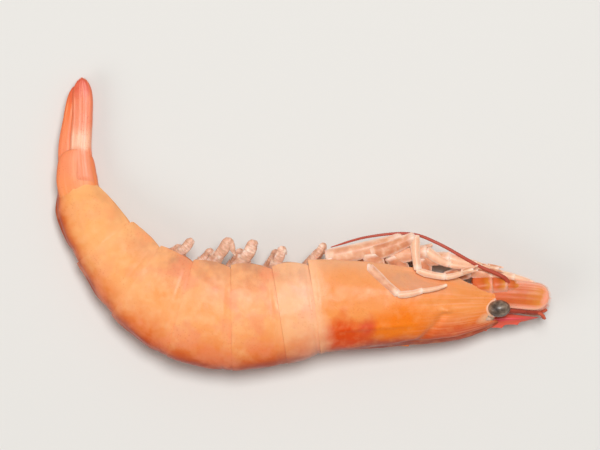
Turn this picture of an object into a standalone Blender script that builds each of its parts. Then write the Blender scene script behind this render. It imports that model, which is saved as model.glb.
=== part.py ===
"""A cooked whole prawn, head and shell on, lying on its right side with its back curled outwards.

The animal is one piece, so it is one closed solid. Its parts are built one by one along a bent spine,
then joined by one Boolean union and trimmed flat where they rest.

Places on the animal are given in body measures: a station along the spine, counted from the front of
the head towards the tail, a height towards the back (negative towards the belly), and a side towards
the animal's left, which faces up here.
"""

import math

import bmesh
import bpy
from mathutils import Vector

MM = 0.001

# Where the front of the head lies on the table, and which way the spine leaves it towards the tail.
HEAD_FRONT = Vector((61.633, -19.425, 0.0)) * MM
HEAD_HEADING = math.radians(179.0)

# The parts of the body from head to tail: length in mm, and the bend towards the belly in degrees.
BODY_PARTS = {
    "head": (56.0, -5.0),
    "tail_1": (9.0, -3.0),
    "tail_2": (12.0, 7.0),
    "tail_3": (13.0, 16.0),
    "tail_4": (13.0, 21.0),
    "tail_5": (12.5, 18.0),
    "tail_6": (17.7, 26.0),
    "fan": (26.4, 22.0),
}
TAIL_PLATES = ("tail_1", "tail_2", "tail_3", "tail_4", "tail_5", "tail_6")

# The trunk's profile, in mm: station, height of the back, depth of the shell's lower edge, half width.
TRUNK = (
    (12.0, 5.0, 4.6, 3.4),
    (16.0, 6.9, 5.8, 5.0),
    (23.0, 9.0, 7.4, 7.0),
    (37.0, 10.0, 10.0, 8.8),
    (48.0, 10.3, 11.6, 9.2),
    (56.0, 10.7, 12.0, 9.2),
    (61.0, 12.1, 12.1, 9.2),
    (67.0, 12.8, 12.3, 9.2),
    (77.0, 13.8, 12.9, 9.1),
    (90.0, 13.3, 12.4, 8.7),
    (103.0, 10.6, 11.1, 7.7),
    (115.5, 7.9, 9.3, 6.3),
    (124.0, 7.6, 7.1, 5.2),
    (133.0, 6.9, 4.1, 4.2),
)
# Height of the spine over the table, in mm: the thin tail sags towards the table.
SPINE_HEIGHT = (
    (0.0, 8.0),
    (20.0, 8.6),
    (45.0, 9.2),
    (80.0, 9.2),
    (105.0, 7.7),
    (125.0, 5.4),
    (142.0, 3.8),
    (160.0, 3.0),
)

SHELL_FRONT = 12.0  # station of the head shell's front rim, in mm
TRUNK_END = 133.0  # station where the trunk ends inside the tail fan
BELLY_SHARE = 0.78  # depth of the soft belly, as a share of the shell's depth
PLATE_FLARE = 0.35  # how far a plate's rear rim stands over the next plate, in mm
PLATE_SWEEP = 1.4  # how far a plate's lower corner trails its back, in mm
SWEEP_EASE = 12.0  # stretch at each end of the trunk over which that trailing fades out, in mm
PLATE_RINGS = (0.0, 0.16, 0.36, 0.56, 0.76, 0.92, 1.0)  # rings of a plate, as shares of its length
HEAD_SHELL_STEPS = 13
FACE_RINGS = ((2.2, 0.45), (1.2, 0.75))  # rings that close the head: mm before the shell's front, and size
EDGE_ANGLE = math.radians(140.0)  # angle round the body, from the back to the shell's lower edge
SHELL_STEPS = 11  # points from the middle of the back to the shell's lower edge
SIDE_FULLNESS = 0.85  # power that fills out the sides of the trunk's round section
BELLY_KEEL = 0.3  # how far the middle of the belly hangs below its sides, in mm

# The rostrum is a flat blade with teeth that lean forwards.
ROSTRUM_FRONT = 1.2
ROSTRUM_REAR = 38.0
ROSTRUM_TEETH = 8
ROSTRUM_HALF_THICKNESS = 0.55
ROSTRUM_UNDERSIDE = ((1.2, 4.0), (6.0, 3.4), (12.0, 3.0), (24.0, 6.2), (38.0, 8.4))  # station and height
TOOTH_HEIGHT = 0.75
TOOTH_LEAN = 0.78  # share of the teeth's spacing by which a tip lies before its foot

# Joints of each walking leg from its root to its tip, as station, height and distance from the middle.
LEG_JOINTS = {
    "leg_1": (
        (31.0, -7.0, 3.4),
        (31.0, -11.6, 4.4),
        (24.0, -11.2, 5.2),
        (17.5, -9.6, 4.6),
        (12.0, -8.4, 4.2),
    ),
    "leg_2": (
        (36.0, -7.6, 3.8),
        (38.0, -12.4, 4.8),
        (29.5, -13.0, 5.8),
        (24.0, -9.6, 5.4),
        (16.0, -9.0, 5.0),
    ),
    "leg_3": (
        (42.5, -8.0, 4.6),
        (43.0, -13.2, 5.6),
        (32.4, -16.7, 6.4),
        (32.0, -8.4, 7.4),
        (25.2, -6.6, 7.6),
        (18.4, -8.4, 6.8),
    ),
    "leg_4": (
        (45.0, -8.8, 4.8),
        (43.6, -9.4, 7.2),
        (37.0, -2.6, 9.4),
        (31.0, -3.4, 9.0),
        (25.0, -4.6, 8.4),
    ),
    "leg_5": (
        (52.5, -8.0, 4.8),
        (54.0, -12.6, 5.4),
        (35.4, -16.3, 5.2),
        (33.6, -13.0, 3.8),
        (27.0, -12.0, 3.4),
    ),
}
# The right legs that lie another way than the left ones.
RIGHT_LEG_JOINTS = {
    "leg_4": (
        (45.0, -8.8, 4.6),
        (45.4, -12.2, 5.0),
        (35.0, -14.6, 5.0),
        (30.0, -12.6, 4.6),
        (23.0, -11.8, 4.4),
    ),
    "leg_5": (
        (51.0, -8.8, 4.0),
        (51.0, -11.4, 4.2),
        (38.0, -12.4, 3.4),
        (34.0, -13.6, 3.0),
        (28.0, -14.6, 2.8),
    ),
}
# Half breadth and half thickness of a leg at each joint.
LEG_SIZES = {
    "leg_1": ((2.2, 1.6), (1.9, 1.3), (1.3, 1.0), (0.85, 0.75), (0.45, 0.4)),
    "leg_3": ((2.4, 1.7), (2.2, 1.3), (1.2, 0.95), (0.85, 0.7), (0.75, 0.6), (0.4, 0.35)),
    "leg_4": ((1.8, 1.3), (1.2, 0.95), (0.85, 0.7), (0.65, 0.55), (0.35, 0.35)),
    "leg_5": ((2.4, 1.7), (2.3, 1.3), (1.5, 1.05), (0.85, 0.75), (0.45, 0.4)),
}

# Each paddle by its station, forward slant, reach below the shell, curl and half breadth, all in mm.
LEFT_PADDLES = (
    (62.0, 7.0, 3.5, 0.8, 0.95),
    (68.8, 4.3, 3.1, 1.0, 1.25),
    (79.5, 6.6, 4.6, 1.0, 1.55),
    (89.0, 7.2, 5.6, 3.4, 1.45),
    (100.5, 3.4, 4.2, 1.2, 1.25),
)
RIGHT_PADDLES = (
    (61.0, 5.6, 2.4, 1.0, 1.0),
    (71.0, 4.6, 2.4, 1.0, 1.1),
    (82.0, 5.0, 2.8, 1.4, 1.2),
    (92.5, 4.4, 2.6, 1.2, 1.2),
    (104.0, 3.6, 1.8, 1.0, 1.1),
)

TIP_BLUNTNESS = 8  # power that rounds a leaf's tip: the higher, the blunter
TABLE_BLOCK = 0.3  # side of the block, in metres, whose top is the table
MERGE_DISTANCE = 0.01 * MM
SLIVER_WIDTH = 0.005 * MM
SMOOTH_ANGLE = math.radians(40.0)


def smooth_value(table, column, station):
    """Reads one column of a table of stations from a smooth curve through its rows."""
    rows = [(row[0], row[column]) for row in table]
    if station <= rows[0][0]:
        return rows[0][1]
    if station >= rows[-1][0]:
        return rows[-1][1]
    last = len(rows) - 1
    at = next(i for i in range(last) if rows[i][0] <= station <= rows[i + 1][0])
    (x0, y0), (x1, y1) = rows[at], rows[at + 1]
    before, after = rows[max(at - 1, 0)], rows[min(at + 2, last)]
    slope_0 = (y1 - before[1]) / (x1 - before[0])
    slope_1 = (after[1] - y0) / (after[0] - x0)
    gap = x1 - x0
    t = (station - x0) / gap
    from_values = y0 * (2 * t**3 - 3 * t**2 + 1) + y1 * (3 * t**2 - 2 * t**3)
    from_slopes = slope_0 * (t**3 - 2 * t**2 + t) + slope_1 * (t**3 - t**2)
    return from_values + from_slopes * gap


def part_start(name):
    """Station where a part of the body begins, in mm."""
    start = 0.0
    for part, (length, _) in BODY_PARTS.items():
        if part == name:
            return start
        start += length
    raise ValueError(name)


def spine_at(station):
    """Point of the spine in the table's plane, in metres, and its heading, at a station in mm."""
    x, y, heading = HEAD_FRONT.x, HEAD_FRONT.y, HEAD_HEADING
    start = 0.0
    last = list(BODY_PARTS)[-1]
    for part, (length, bend) in BODY_PARTS.items():
        turn_rate = math.radians(bend) / length
        run = station - start if part == last else min(station - start, length)
        turned = heading - turn_rate * run
        x += (math.sin(heading) - math.sin(turned)) / turn_rate * MM
        y += (math.cos(turned) - math.cos(heading)) / turn_rate * MM
        heading = turned
        start += length
        if station <= start:
            break
    return x, y, heading


def body_point(station, height, side):
    """World place of a point given in body measures, in mm."""
    x, y, heading = spine_at(station)
    back = Vector((-math.sin(heading), math.cos(heading), 0.0))
    up = smooth_value(SPINE_HEIGHT, 1, station)
    return Vector((x, y, up * MM)) + back * (height * MM) + Vector((0.0, 0.0, side * MM))


def solid_from(name, build):
    """Makes an object from a function that fills a bmesh, with its faces turned outwards."""
    mesh = bpy.data.meshes.new(name)
    work = bmesh.new()
    build(work)
    bmesh.ops.triangulate(work, faces=work.faces[:])
    bmesh.ops.recalc_face_normals(work, faces=work.faces[:])
    work.to_mesh(mesh)
    work.free()
    solid = bpy.data.objects.new(name, mesh)
    bpy.context.scene.collection.objects.link(solid)
    return solid


def loft(work, rings):
    """Skins a list of equal rings of points and closes both ends."""
    loops = [[work.verts.new(point) for point in ring] for ring in rings]
    count = len(loops[0])
    for ring, following in zip(loops, loops[1:]):
        for i in range(count):
            j = (i + 1) % count
            work.faces.new((ring[i], ring[j], following[j], following[i]))
    for ring in (loops[0], loops[-1]):
        middle = sum((v.co for v in ring), Vector()) / count
        centre = work.verts.new(middle)
        for i in range(count):
            work.faces.new((ring[i], ring[(i + 1) % count], centre))


def section(back, edge, belly, width):
    """Closed outline of the trunk as (height, side, share of the way down the shell) points."""
    shell = []
    for step in range(SHELL_STEPS + 1):
        share = step / SHELL_STEPS
        angle = share * EDGE_ANGLE
        reach = back if angle < math.pi / 2 else edge / -math.cos(EDGE_ANGLE)
        shell.append((math.cos(angle) * reach, width * math.sin(angle) ** SIDE_FULLNESS, share))
    rim = shell[-1][1]
    under = [(-(0.75 * belly + 0.25 * edge), 0.8 * rim, 1.0), (-belly, 0.5 * rim, 1.0)]
    left = shell + under
    right = [(height, -side, share) for height, side, share in reversed(left[1:])]
    return left + [(-belly - BELLY_KEEL, 0.0, 1.0)] + right


def ring_at(station, flare, lobe):
    """A ring of the trunk. The flare lifts a plate's rim, and the lobe, from 0 to 1, lets its edge hang."""
    back = smooth_value(TRUNK, 1, station) + flare
    edge = smooth_value(TRUNK, 2, station) + flare
    width = smooth_value(TRUNK, 3, station) + flare
    belly = BELLY_SHARE * edge
    outline = section(back, belly + (edge - belly) * lobe, belly, width)
    ease = min(1.0, (TRUNK_END - station) / SWEEP_EASE) * min(1.0, (station - SHELL_FRONT) / SWEEP_EASE)
    sweep = PLATE_SWEEP * ease
    return [body_point(station + sweep * share**2, height, side) for height, side, share in outline]


def plate_lobe(share):
    """How far a plate's lower edge hangs: shallow at its front and deepest behind its middle."""
    return 0.35 + 0.65 * math.sin(math.pi * share / 1.3) ** 0.8


def trunk_rings():
    """Rings of the head shell and the six tail plates, each plate stepping down to the next one."""
    rings = []
    _, front_back, front_edge, front_width = TRUNK[0]
    front = section(front_back, front_edge, BELLY_SHARE * front_edge, front_width)
    for ahead, size in FACE_RINGS:
        station = SHELL_FRONT - ahead
        rings.append([body_point(station, height * size, side * size) for height, side, _ in front])
    shell_end = part_start("tail_1")
    for step in range(HEAD_SHELL_STEPS + 1):
        share = step / HEAD_SHELL_STEPS
        station = SHELL_FRONT + (shell_end - SHELL_FRONT) * share
        # The head shell's lower edge runs down to its full depth, and its rear rim flares late.
        rings.append(ring_at(station, PLATE_FLARE * share**6, min(1.0, 0.3 + 1.6 * share)))
    for name in TAIL_PLATES:
        start = part_start(name)
        length = min(BODY_PARTS[name][0], TRUNK_END - start)
        for share in PLATE_RINGS:
            rings.append(ring_at(start + length * share, PLATE_FLARE * share**2, plate_lobe(share)))
    return rings


def trunk():
    return solid_from("trunk", lambda work: loft(work, trunk_rings()))


def limb(name, joints, sides=6):
    """A tapered limb through joints given as (station, height, side, half breadth, half thickness), in mm.

    The breadth lies in the plane of the spine, and the thickness across it."""
    places = [body_point(*joint[:3]) for joint in joints]
    rings = []
    for i, (place, joint) in enumerate(zip(places, joints)):
        ahead = places[min(i + 1, len(places) - 1)]
        behind = places[max(i - 1, 0)]
        along = (ahead - behind).normalized()
        across = along.cross(Vector((0.0, 0.0, 1.0))).normalized()
        face = across.cross(along).normalized()
        breadth, thickness = across * (joint[3] * MM), face * (joint[4] * MM)
        angles = [2 * math.pi * k / sides for k in range(sides)]
        rings.append([place + breadth * math.cos(angle) + thickness * math.sin(angle) for angle in angles])
    return solid_from(name, lambda work: loft(work, rings))


def leaf(name, root, tip, half_breadths, half_thickness, steps=7, sides=8):
    """A flat limb with a round tip, from a root to a tip given as (station, height, side)."""
    joints = []
    for step in range(steps + 1):
        share = math.sin(math.pi / 2 * step / steps)
        half_breadth = half_breadths[0] + (half_breadths[1] - half_breadths[0]) * share
        rounding = max(0.15, math.sqrt(1.0 - share**TIP_BLUNTNESS))
        place = [a + (b - a) * share for a, b in zip(root, tip)]
        joints.append((*place, half_breadth * rounding, half_thickness * (1.0 - 0.5 * share)))
    return limb(name, joints, sides)


def rostrum_ridge(station):
    """Height of the rostrum's top edge between its teeth; it runs on into the back at its rear."""
    run = (station - ROSTRUM_FRONT) / (ROSTRUM_REAR - ROSTRUM_FRONT)
    return 3.9 + (smooth_value(TRUNK, 1, ROSTRUM_REAR) - 3.45) * run**0.72


def rostrum():
    """The saw-toothed blade that runs on from the middle of the back over the eyes."""
    toothless = 5.0
    spacing = (ROSTRUM_REAR - toothless - ROSTRUM_FRONT) / ROSTRUM_TEETH
    outline = []
    for i in range(ROSTRUM_TEETH):
        foot = ROSTRUM_REAR - i * spacing
        tip = foot - TOOTH_LEAN * spacing
        outline += [(foot, rostrum_ridge(foot)), (tip, rostrum_ridge(tip) + TOOTH_HEIGHT)]
    last_foot = ROSTRUM_FRONT + toothless - 1.0
    outline.append((last_foot, rostrum_ridge(last_foot)))
    outline += ROSTRUM_UNDERSIDE

    def build(work):
        sheets = []
        for side in (ROSTRUM_HALF_THICKNESS, -ROSTRUM_HALF_THICKNESS):
            sheets.append([work.verts.new(body_point(s, h, side)) for s, h in outline])
        work.faces.new(sheets[0])
        work.faces.new(reversed(sheets[1]))
        for i in range(len(outline)):
            j = (i + 1) % len(outline)
            work.faces.new((sheets[0][i], sheets[1][i], sheets[1][j], sheets[0][j]))

    return solid_from("rostrum", build)


def eye(side):
    """An eyeball on its short stalk; side is 1 for the left one and -1 for the right one."""

    def ball(work):
        bmesh.ops.create_uvsphere(work, u_segments=14, v_segments=9, radius=2.5 * MM)
        bmesh.ops.scale(work, verts=work.verts[:], vec=(1.2, 1.0, 1.0))
        bmesh.ops.translate(work, verts=work.verts[:], vec=body_point(12.0, 1.5, 4.6 * side))

    stalk = [
        (17.4, 1.2, 2.0 * side, 1.6, 1.5),
        (15.0, 1.3, 3.0 * side, 1.5, 1.4),
        (12.8, 1.5, 4.2 * side, 1.7, 1.6),
    ]
    return [solid_from("eyeball", ball), limb("eyestalk", stalk)]


def head_limbs(side):
    """Feelers' stalks, the broad scales beside them, one long feeler laid back, and the mouth legs."""
    made = [
        leaf("scale", (16.0, -2.2, 2.6 * side), (-0.3, -1.3, 4.0 * side), (3.1, 3.6), 0.6),
        limb(
            "upper_stalk",
            [
                (15.0, 0.8, 1.5 * side, 1.5, 1.3),
                (10.0, 1.2, 1.6 * side, 1.4, 1.2),
                (9.4, 1.3, 1.6 * side, 1.1, 1.0),
                (5.2, 1.7, 1.6 * side, 1.1, 1.0),
                (4.6, 1.8, 1.6 * side, 0.8, 0.7),
                (1.4, 2.2, 1.7 * side, 0.7, 0.6),
            ],
        ),
        limb(
            "lower_stalk",
            [
                (17.5, -4.0, 3.0 * side, 2.2, 1.8),
                (12.5, -4.2, 3.4 * side, 1.9, 1.6),
                (9.0, -4.2, 3.4 * side, 1.3, 1.2),
                (6.6, -4.0, 3.2 * side, 0.9, 0.9),
            ],
        ),
        limb(
            "mouth_leg",
            [
                (25.0, -6.4, 2.4 * side, 1.4, 1.3),
                (19.0, -7.8, 3.0 * side, 1.5, 1.2),
                (13.5, -7.2, 3.0 * side, 1.2, 1.0),
                (8.0, -6.2, 2.8 * side, 0.9, 0.8),
                (3.6, -5.0, 2.6 * side, 0.5, 0.5),
            ],
        ),
    ]
    return made


def long_feeler():
    """The left feeler, folded back along the tucked legs."""
    path = (
        (9.5, -4.2, 3.6, 0.75),
        (11.0, -6.6, 4.6, 0.65),
        (17.5, -9.8, 5.6, 0.6),
        (27.0, -15.4, 6.4, 0.55),
        (34.0, -17.9, 6.4, 0.5),
        (44.0, -17.4, 5.4, 0.5),
        (53.0, -15.2, 4.4, 0.45),
    )
    return limb("long_feeler", [(*joint, joint[3]) for joint in path], sides=5)


def walking_legs(side):
    """Five legs tucked under the head. Their long upper parts lie side by side and end in knees."""
    made = []
    for name in LEG_JOINTS:
        path = LEG_JOINTS[name] if side > 0 else RIGHT_LEG_JOINTS.get(name, LEG_JOINTS[name])
        sizes = LEG_SIZES.get(name, LEG_SIZES["leg_1"])
        joints = [(s, h, out * side, *size) for (s, h, out), size in zip(path, sizes, strict=True)]
        made.append(limb(name, joints))
    return made


def swimmeret(station, slant, reach, curl, half_breadth, side):
    """A paddle under the tail: a stout base that hangs down, and two blades that go on from it."""
    depth = smooth_value(TRUNK, 2, station)
    root_height, tip_height = 1.6 - BELLY_SHARE * depth, -depth - reach

    def on_the_way(share):
        return station - slant * share, root_height + (tip_height - root_height) * share

    base = [
        (*on_the_way(0.0), 4.0 * side, 1.6, 1.2),
        (*on_the_way(0.35), 3.9 * side, 1.5, 1.1),
        (*on_the_way(0.66), 3.5 * side, 1.3, 1.0),
    ]
    blade_root = (*on_the_way(0.5), 3.6 * side)
    outer_station, outer_height = on_the_way(1.0)
    inner_station, inner_height = on_the_way(0.94)
    outer_tip = (outer_station - 0.6 * curl, outer_height + 0.3 * curl, 4.0 * side)
    inner_tip = (inner_station + 0.6, inner_height, 2.2 * side)
    inner_breadth = 0.8 * half_breadth
    return [
        limb("paddle_base", base),
        leaf("outer_blade", blade_root, outer_tip, (half_breadth, half_breadth), 0.6, steps=4, sides=6),
        leaf("inner_blade", blade_root, inner_tip, (inner_breadth, inner_breadth), 0.6, steps=3, sides=6),
    ]


def swimmerets():
    """Five pairs of paddles."""
    made = []
    for side, row in ((1, LEFT_PADDLES), (-1, RIGHT_PADDLES)):
        for paddle in row:
            made += swimmeret(*paddle, side)
    return made


def tail_fan():
    """The pointed middle blade and two pairs of side blades, folded down round it."""
    middle = ((129.5, 3.0, 0.0, 1.8, 3.0), (136.0, 3.0, 0.0, 1.5, 2.8), (145.0, 2.5, 0.0, 1.1, 1.7))
    made = [limb("telson", [*middle, (153.5, 1.7, 0.0, 0.4, 0.4)], sides=8)]
    for side in (1, -1):
        joint = [
            (129.5, 0.9, 2.2 * side, 4.9, 1.8),
            (135.0, 0.9, 2.8 * side, 5.0, 1.5),
            (141.5, 0.4, 3.1 * side, 4.3, 0.8),
        ]
        made.append(limb("fan_joint", joint, sides=8))
        made.append(leaf("outer_fan", (133.0, -0.6, 3.0 * side), (159.6, 0.1, 2.4 * side), (3.0, 2.7), 0.65))
        made.append(leaf("inner_fan", (133.0, 1.9, 1.9 * side), (156.0, 1.9, 1.1 * side), (3.5, 1.9), 0.6))
    return made


def cooked_shell_material():
    """Peach orange, as prawn shell turns when it is cooked, with a damp sheen."""
    material = bpy.data.materials.new("cooked prawn shell")
    material.use_nodes = True
    shader = material.node_tree.nodes["Principled BSDF"]
    shader.inputs["Base Color"].default_value = (0.93, 0.40, 0.17, 1.0)
    shader.inputs["Roughness"].default_value = 0.42
    shader.inputs["Metallic"].default_value = 0.0
    return material


def apply_modifiers(solid):
    """Keeps the shape that the modifiers make as the object's own mesh."""
    graph = bpy.context.evaluated_depsgraph_get()
    shaped = bpy.data.meshes.new_from_object(solid.evaluated_get(graph))
    solid.modifiers.clear()
    solid.data = shaped


def join_all(body, others):
    """One union of the body with everything that grows from it."""
    limbs = bpy.data.collections.new("limbs")
    bpy.context.scene.collection.children.link(limbs)
    for other in others:
        limbs.objects.link(other)
        bpy.context.scene.collection.objects.unlink(other)
    union = body.modifiers.new("join limbs", "BOOLEAN")
    union.operation = "UNION"
    union.operand_type = "COLLECTION"
    union.collection = limbs
    union.solver = "MANIFOLD"
    apply_modifiers(body)
    for other in others:
        bpy.data.objects.remove(other)
    bpy.data.collections.remove(limbs)


def flatten_underside(body):
    """Trims what would reach below the table, so that the prawn rests on small flat spots."""
    bpy.ops.mesh.primitive_cube_add(size=TABLE_BLOCK, location=(0.0, 0.0, -TABLE_BLOCK / 2))
    table = bpy.context.active_object
    table.hide_render = True
    table.display_type = "WIRE"
    bpy.context.view_layer.update()
    cut = body.modifiers.new("rest flat", "BOOLEAN")
    cut.operation = "DIFFERENCE"
    cut.object = table
    cut.solver = "MANIFOLD"
    apply_modifiers(body)
    bpy.data.objects.remove(table)


def keep_largest_body(solid):
    """Fills hollows that the union sealed and drops loose scraps, by keeping the largest closed surface."""
    work = bmesh.new()
    work.from_mesh(solid.data)
    bmesh.ops.remove_doubles(work, verts=work.verts[:], dist=MERGE_DISTANCE)
    bmesh.ops.dissolve_degenerate(work, edges=work.edges[:], dist=SLIVER_WIDTH)
    unseen = set(work.verts)
    shells = []
    while unseen:
        reached = [unseen.pop()]
        for vert in reached:
            for edge in vert.link_edges:
                other = edge.other_vert(vert)
                if other in unseen:
                    unseen.remove(other)
                    reached.append(other)
        shells.append(reached)
    shells.sort(key=len)
    for shell in shells[:-1]:
        bmesh.ops.delete(work, geom=shell, context="VERTS")
    bmesh.ops.triangulate(work, faces=work.faces[:])
    work.to_mesh(solid.data)
    work.free()


def main():
    for leftover in list(bpy.data.objects):
        bpy.data.objects.remove(leftover)
    prawn = trunk()
    prawn.name = "prawn"
    grown = [rostrum(), long_feeler()]
    for side in (1, -1):
        grown += eye(side) + head_limbs(side) + walking_legs(side)
    grown += swimmerets() + tail_fan()
    join_all(prawn, grown)
    flatten_underside(prawn)
    keep_largest_body(prawn)
    prawn.data.materials.clear()
    prawn.data.materials.append(cooked_shell_material())
    prawn.data.shade_smooth()
    prawn.data.set_sharp_from_angle(angle=SMOOTH_ANGLE)


main()
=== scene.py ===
import math

import bpy
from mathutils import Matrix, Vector, noise


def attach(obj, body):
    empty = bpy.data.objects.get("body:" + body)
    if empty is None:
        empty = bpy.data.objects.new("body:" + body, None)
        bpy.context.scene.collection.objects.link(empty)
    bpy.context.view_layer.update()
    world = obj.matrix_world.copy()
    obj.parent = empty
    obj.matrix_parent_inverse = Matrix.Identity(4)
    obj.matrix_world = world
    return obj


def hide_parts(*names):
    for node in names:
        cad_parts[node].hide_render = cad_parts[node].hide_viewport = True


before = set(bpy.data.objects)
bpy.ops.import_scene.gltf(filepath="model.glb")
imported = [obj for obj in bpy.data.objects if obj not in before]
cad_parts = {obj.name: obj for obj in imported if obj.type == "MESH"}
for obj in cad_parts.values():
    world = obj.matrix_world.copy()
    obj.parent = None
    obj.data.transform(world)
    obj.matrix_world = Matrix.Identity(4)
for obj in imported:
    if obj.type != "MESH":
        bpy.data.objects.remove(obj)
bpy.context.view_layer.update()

bl_info = {
    "name": "Cooked Prawn",
    "version": (1, 0, 0),
    "blender": (4, 5, 0),
    "location": "View3D > Sidebar > Prawn",
    "description": "Dresses a cooked whole prawn: shell plates, legs, paddles, feelers and tail fan",
    "category": "Object",
}

MM = 0.001  # a value that isn't multiplied by it is in mm or a share
BODY = "root"
NODE = "prawn"
MARK = "body_map"  # attribute that tells a surface pattern where on the animal it is
BODY_LENGTH = 160.0
SEAM_GAP = 0.0008 * MM
TABLE_GAP = 0.02 * MM

# The same body as the solid's: where the front of the head lies, and which way the spine leaves it.
HEAD_FRONT = Vector((61.633, -19.425, 0.0)) * MM
HEAD_HEADING = math.radians(179.0)

# The parts of the body from head to tail: length in mm, and the bend towards the belly in degrees.
BODY_PARTS = {
    "head": (56.0, -5.0),
    "tail_1": (9.0, -3.0),
    "tail_2": (12.0, 7.0),
    "tail_3": (13.0, 16.0),
    "tail_4": (13.0, 21.0),
    "tail_5": (12.5, 18.0),
    "tail_6": (17.7, 26.0),
    "fan": (26.4, 22.0),
}
TAIL_PLATES = ("tail_1", "tail_2", "tail_3", "tail_4", "tail_5", "tail_6")

# The trunk's profile, in mm: station, height of the back, depth of the shell's lower edge, half width.
TRUNK = (
    (12.0, 5.0, 4.6, 3.4),
    (16.0, 6.9, 5.8, 5.0),
    (23.0, 9.0, 7.4, 7.0),
    (37.0, 10.0, 10.0, 8.8),
    (48.0, 10.3, 11.6, 9.2),
    (56.0, 10.7, 12.0, 9.2),
    (61.0, 12.1, 12.1, 9.2),
    (67.0, 12.8, 12.3, 9.2),
    (77.0, 13.8, 12.9, 9.1),
    (90.0, 13.3, 12.4, 8.7),
    (103.0, 10.6, 11.1, 7.7),
    (115.5, 7.9, 9.3, 6.3),
    (124.0, 7.6, 7.1, 5.2),
    (133.0, 6.9, 4.1, 4.2),
)
# Height of the spine over the table, in mm.
SPINE_HEIGHT = (
    (0.0, 8.0),
    (20.0, 8.6),
    (45.0, 9.2),
    (80.0, 9.2),
    (105.0, 7.7),
    (125.0, 5.4),
    (142.0, 3.8),
    (160.0, 3.0),
)
SHELL_FRONT = 12.0
TRUNK_END = 133.0
BELLY_SHARE = 0.78  # how far the belly reaches down inside the shell
PLATE_SWEEP = 1.4  # how far a plate's lower corners trail its back
EDGE_ANGLE = math.radians(140.0)  # from the middle of the back to the shell's lower edge
SMOOTH_ANGLE = math.radians(50.0)
PLATE_TUCK = 1.6  # how far a tail plate's front lies under the plate before it
HEAD_OVERLAP = 1.3  # how far the head shell lies over the first tail plate
FLESH_GAP = 0.75  # from the outside of the shell to the flesh
SHEET_SHARE = 0.74  # share of the flesh's girth that lies under the shell
HAIR_RADIUS = 0.06 * MM
FEELER_SIDES = 8
RING_DEPTH = 0.08  # of the feelers' rings, as a share of their thickness


def linear(hex_colour):
    """Turns an sRGB hex colour into Blender's linear values."""
    channels = [int(hex_colour[i : i + 2], 16) / 255 for i in (1, 3, 5)]
    return tuple(c / 12.92 if c <= 0.04045 else ((c + 0.055) / 1.055) ** 2.4 for c in channels) + (1.0,)


def blend(low, high, value):
    """Goes smoothly from 0 at low to 1 at high."""
    t = min(1.0, max(0.0, (value - low) / (high - low)))
    return t * t * (3.0 - 2.0 * t)


def bump(value, middle, spread):
    """A rounded rise of height 1 at the middle, which fades out over the spread."""
    return math.exp(-(((value - middle) / spread) ** 2))


def smooth_value(table, column, station):
    """Reads one column of a table of stations from a smooth curve through its rows."""
    if station <= table[0][0]:
        return table[0][column]
    last = len(table) - 1
    if station >= table[last][0]:
        return table[last][column]
    at = next(i for i in range(last) if table[i][0] <= station <= table[i + 1][0])
    row, following = table[at], table[at + 1]
    before, after = table[max(at - 1, 0)], table[min(at + 2, last)]
    y0, y1 = row[column], following[column]
    slope_0 = (y1 - before[column]) / (following[0] - before[0])
    slope_1 = (after[column] - y0) / (after[0] - row[0])
    gap = following[0] - row[0]
    t = (station - row[0]) / gap
    from_values = y0 * (2 * t**3 - 3 * t**2 + 1) + y1 * (3 * t**2 - 2 * t**3)
    from_slopes = slope_0 * (t**3 - 2 * t**2 + t) + slope_1 * (t**3 - t**2)
    return from_values + from_slopes * gap


def part_start(name):
    """Station where a part of the body begins, in mm."""
    start = 0.0
    for part, (length, _) in BODY_PARTS.items():
        if part == name:
            return start
        start += length
    raise ValueError(name)


def spine_at(station):
    """Point of the spine in the table's plane, in metres, and its heading, at a station in mm."""
    x, y, heading = HEAD_FRONT.x, HEAD_FRONT.y, HEAD_HEADING
    start = 0.0
    last = list(BODY_PARTS)[-1]
    for part, (length, bend) in BODY_PARTS.items():
        turn_rate = math.radians(bend) / length
        run = station - start if part == last else min(station - start, length)
        turned = heading - turn_rate * run
        x += (math.sin(heading) - math.sin(turned)) / turn_rate * MM
        y += (math.cos(turned) - math.cos(heading)) / turn_rate * MM
        heading = turned
        start += length
        if station <= start:
            break
    return x, y, heading


def body_point(station, height, side):
    """World place of a point given in body measures: along the spine, towards the back, to the left."""
    x, y, heading = spine_at(station)
    back = Vector((-math.sin(heading), math.cos(heading), 0.0))
    up = smooth_value(SPINE_HEIGHT, 1, station)
    return Vector((x, y, up * MM)) + back * (height * MM) + Vector((0.0, 0.0, side * MM))


def shell_outline(station, share, lift=0.0, edge_share=1.0):
    """Height and side of the shell's outside. Share runs from -1, the right edge, over the back to 1."""
    back = smooth_value(TRUNK, 1, station)
    edge = smooth_value(TRUNK, 2, station)
    width = smooth_value(TRUNK, 3, station)
    depth = edge * (BELLY_SHARE + (1.0 - BELLY_SHARE) * edge_share)
    angle = abs(share) * EDGE_ANGLE
    reach = back if angle < math.pi / 2 else depth / -math.cos(EDGE_ANGLE)
    height = math.cos(angle) * (reach + lift)
    side = math.sin(angle) ** 0.85 * (width + lift)
    return height, math.copysign(side, share)


def swept(station, share):
    """Station of a point of the shell, whose lower corners trail its back."""
    ease = min(1.0, (TRUNK_END - station) / 12.0) * min(1.0, max(0.0, station - SHELL_FRONT) / 12.0)
    return station + PLATE_SWEEP * ease * share**2


def lumps(point, size, depth):
    """Slight unevenness of a grown surface: lumps of a size and depth in mm."""
    return noise.noise(point / (size * MM)) * depth


def select_only(pieces):
    """Selects these pieces alone; the first one becomes the active one."""
    bpy.ops.object.select_all(action="DESELECT")
    for piece in pieces:
        piece.select_set(True)
    bpy.context.view_layer.objects.active = pieces[0]


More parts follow.
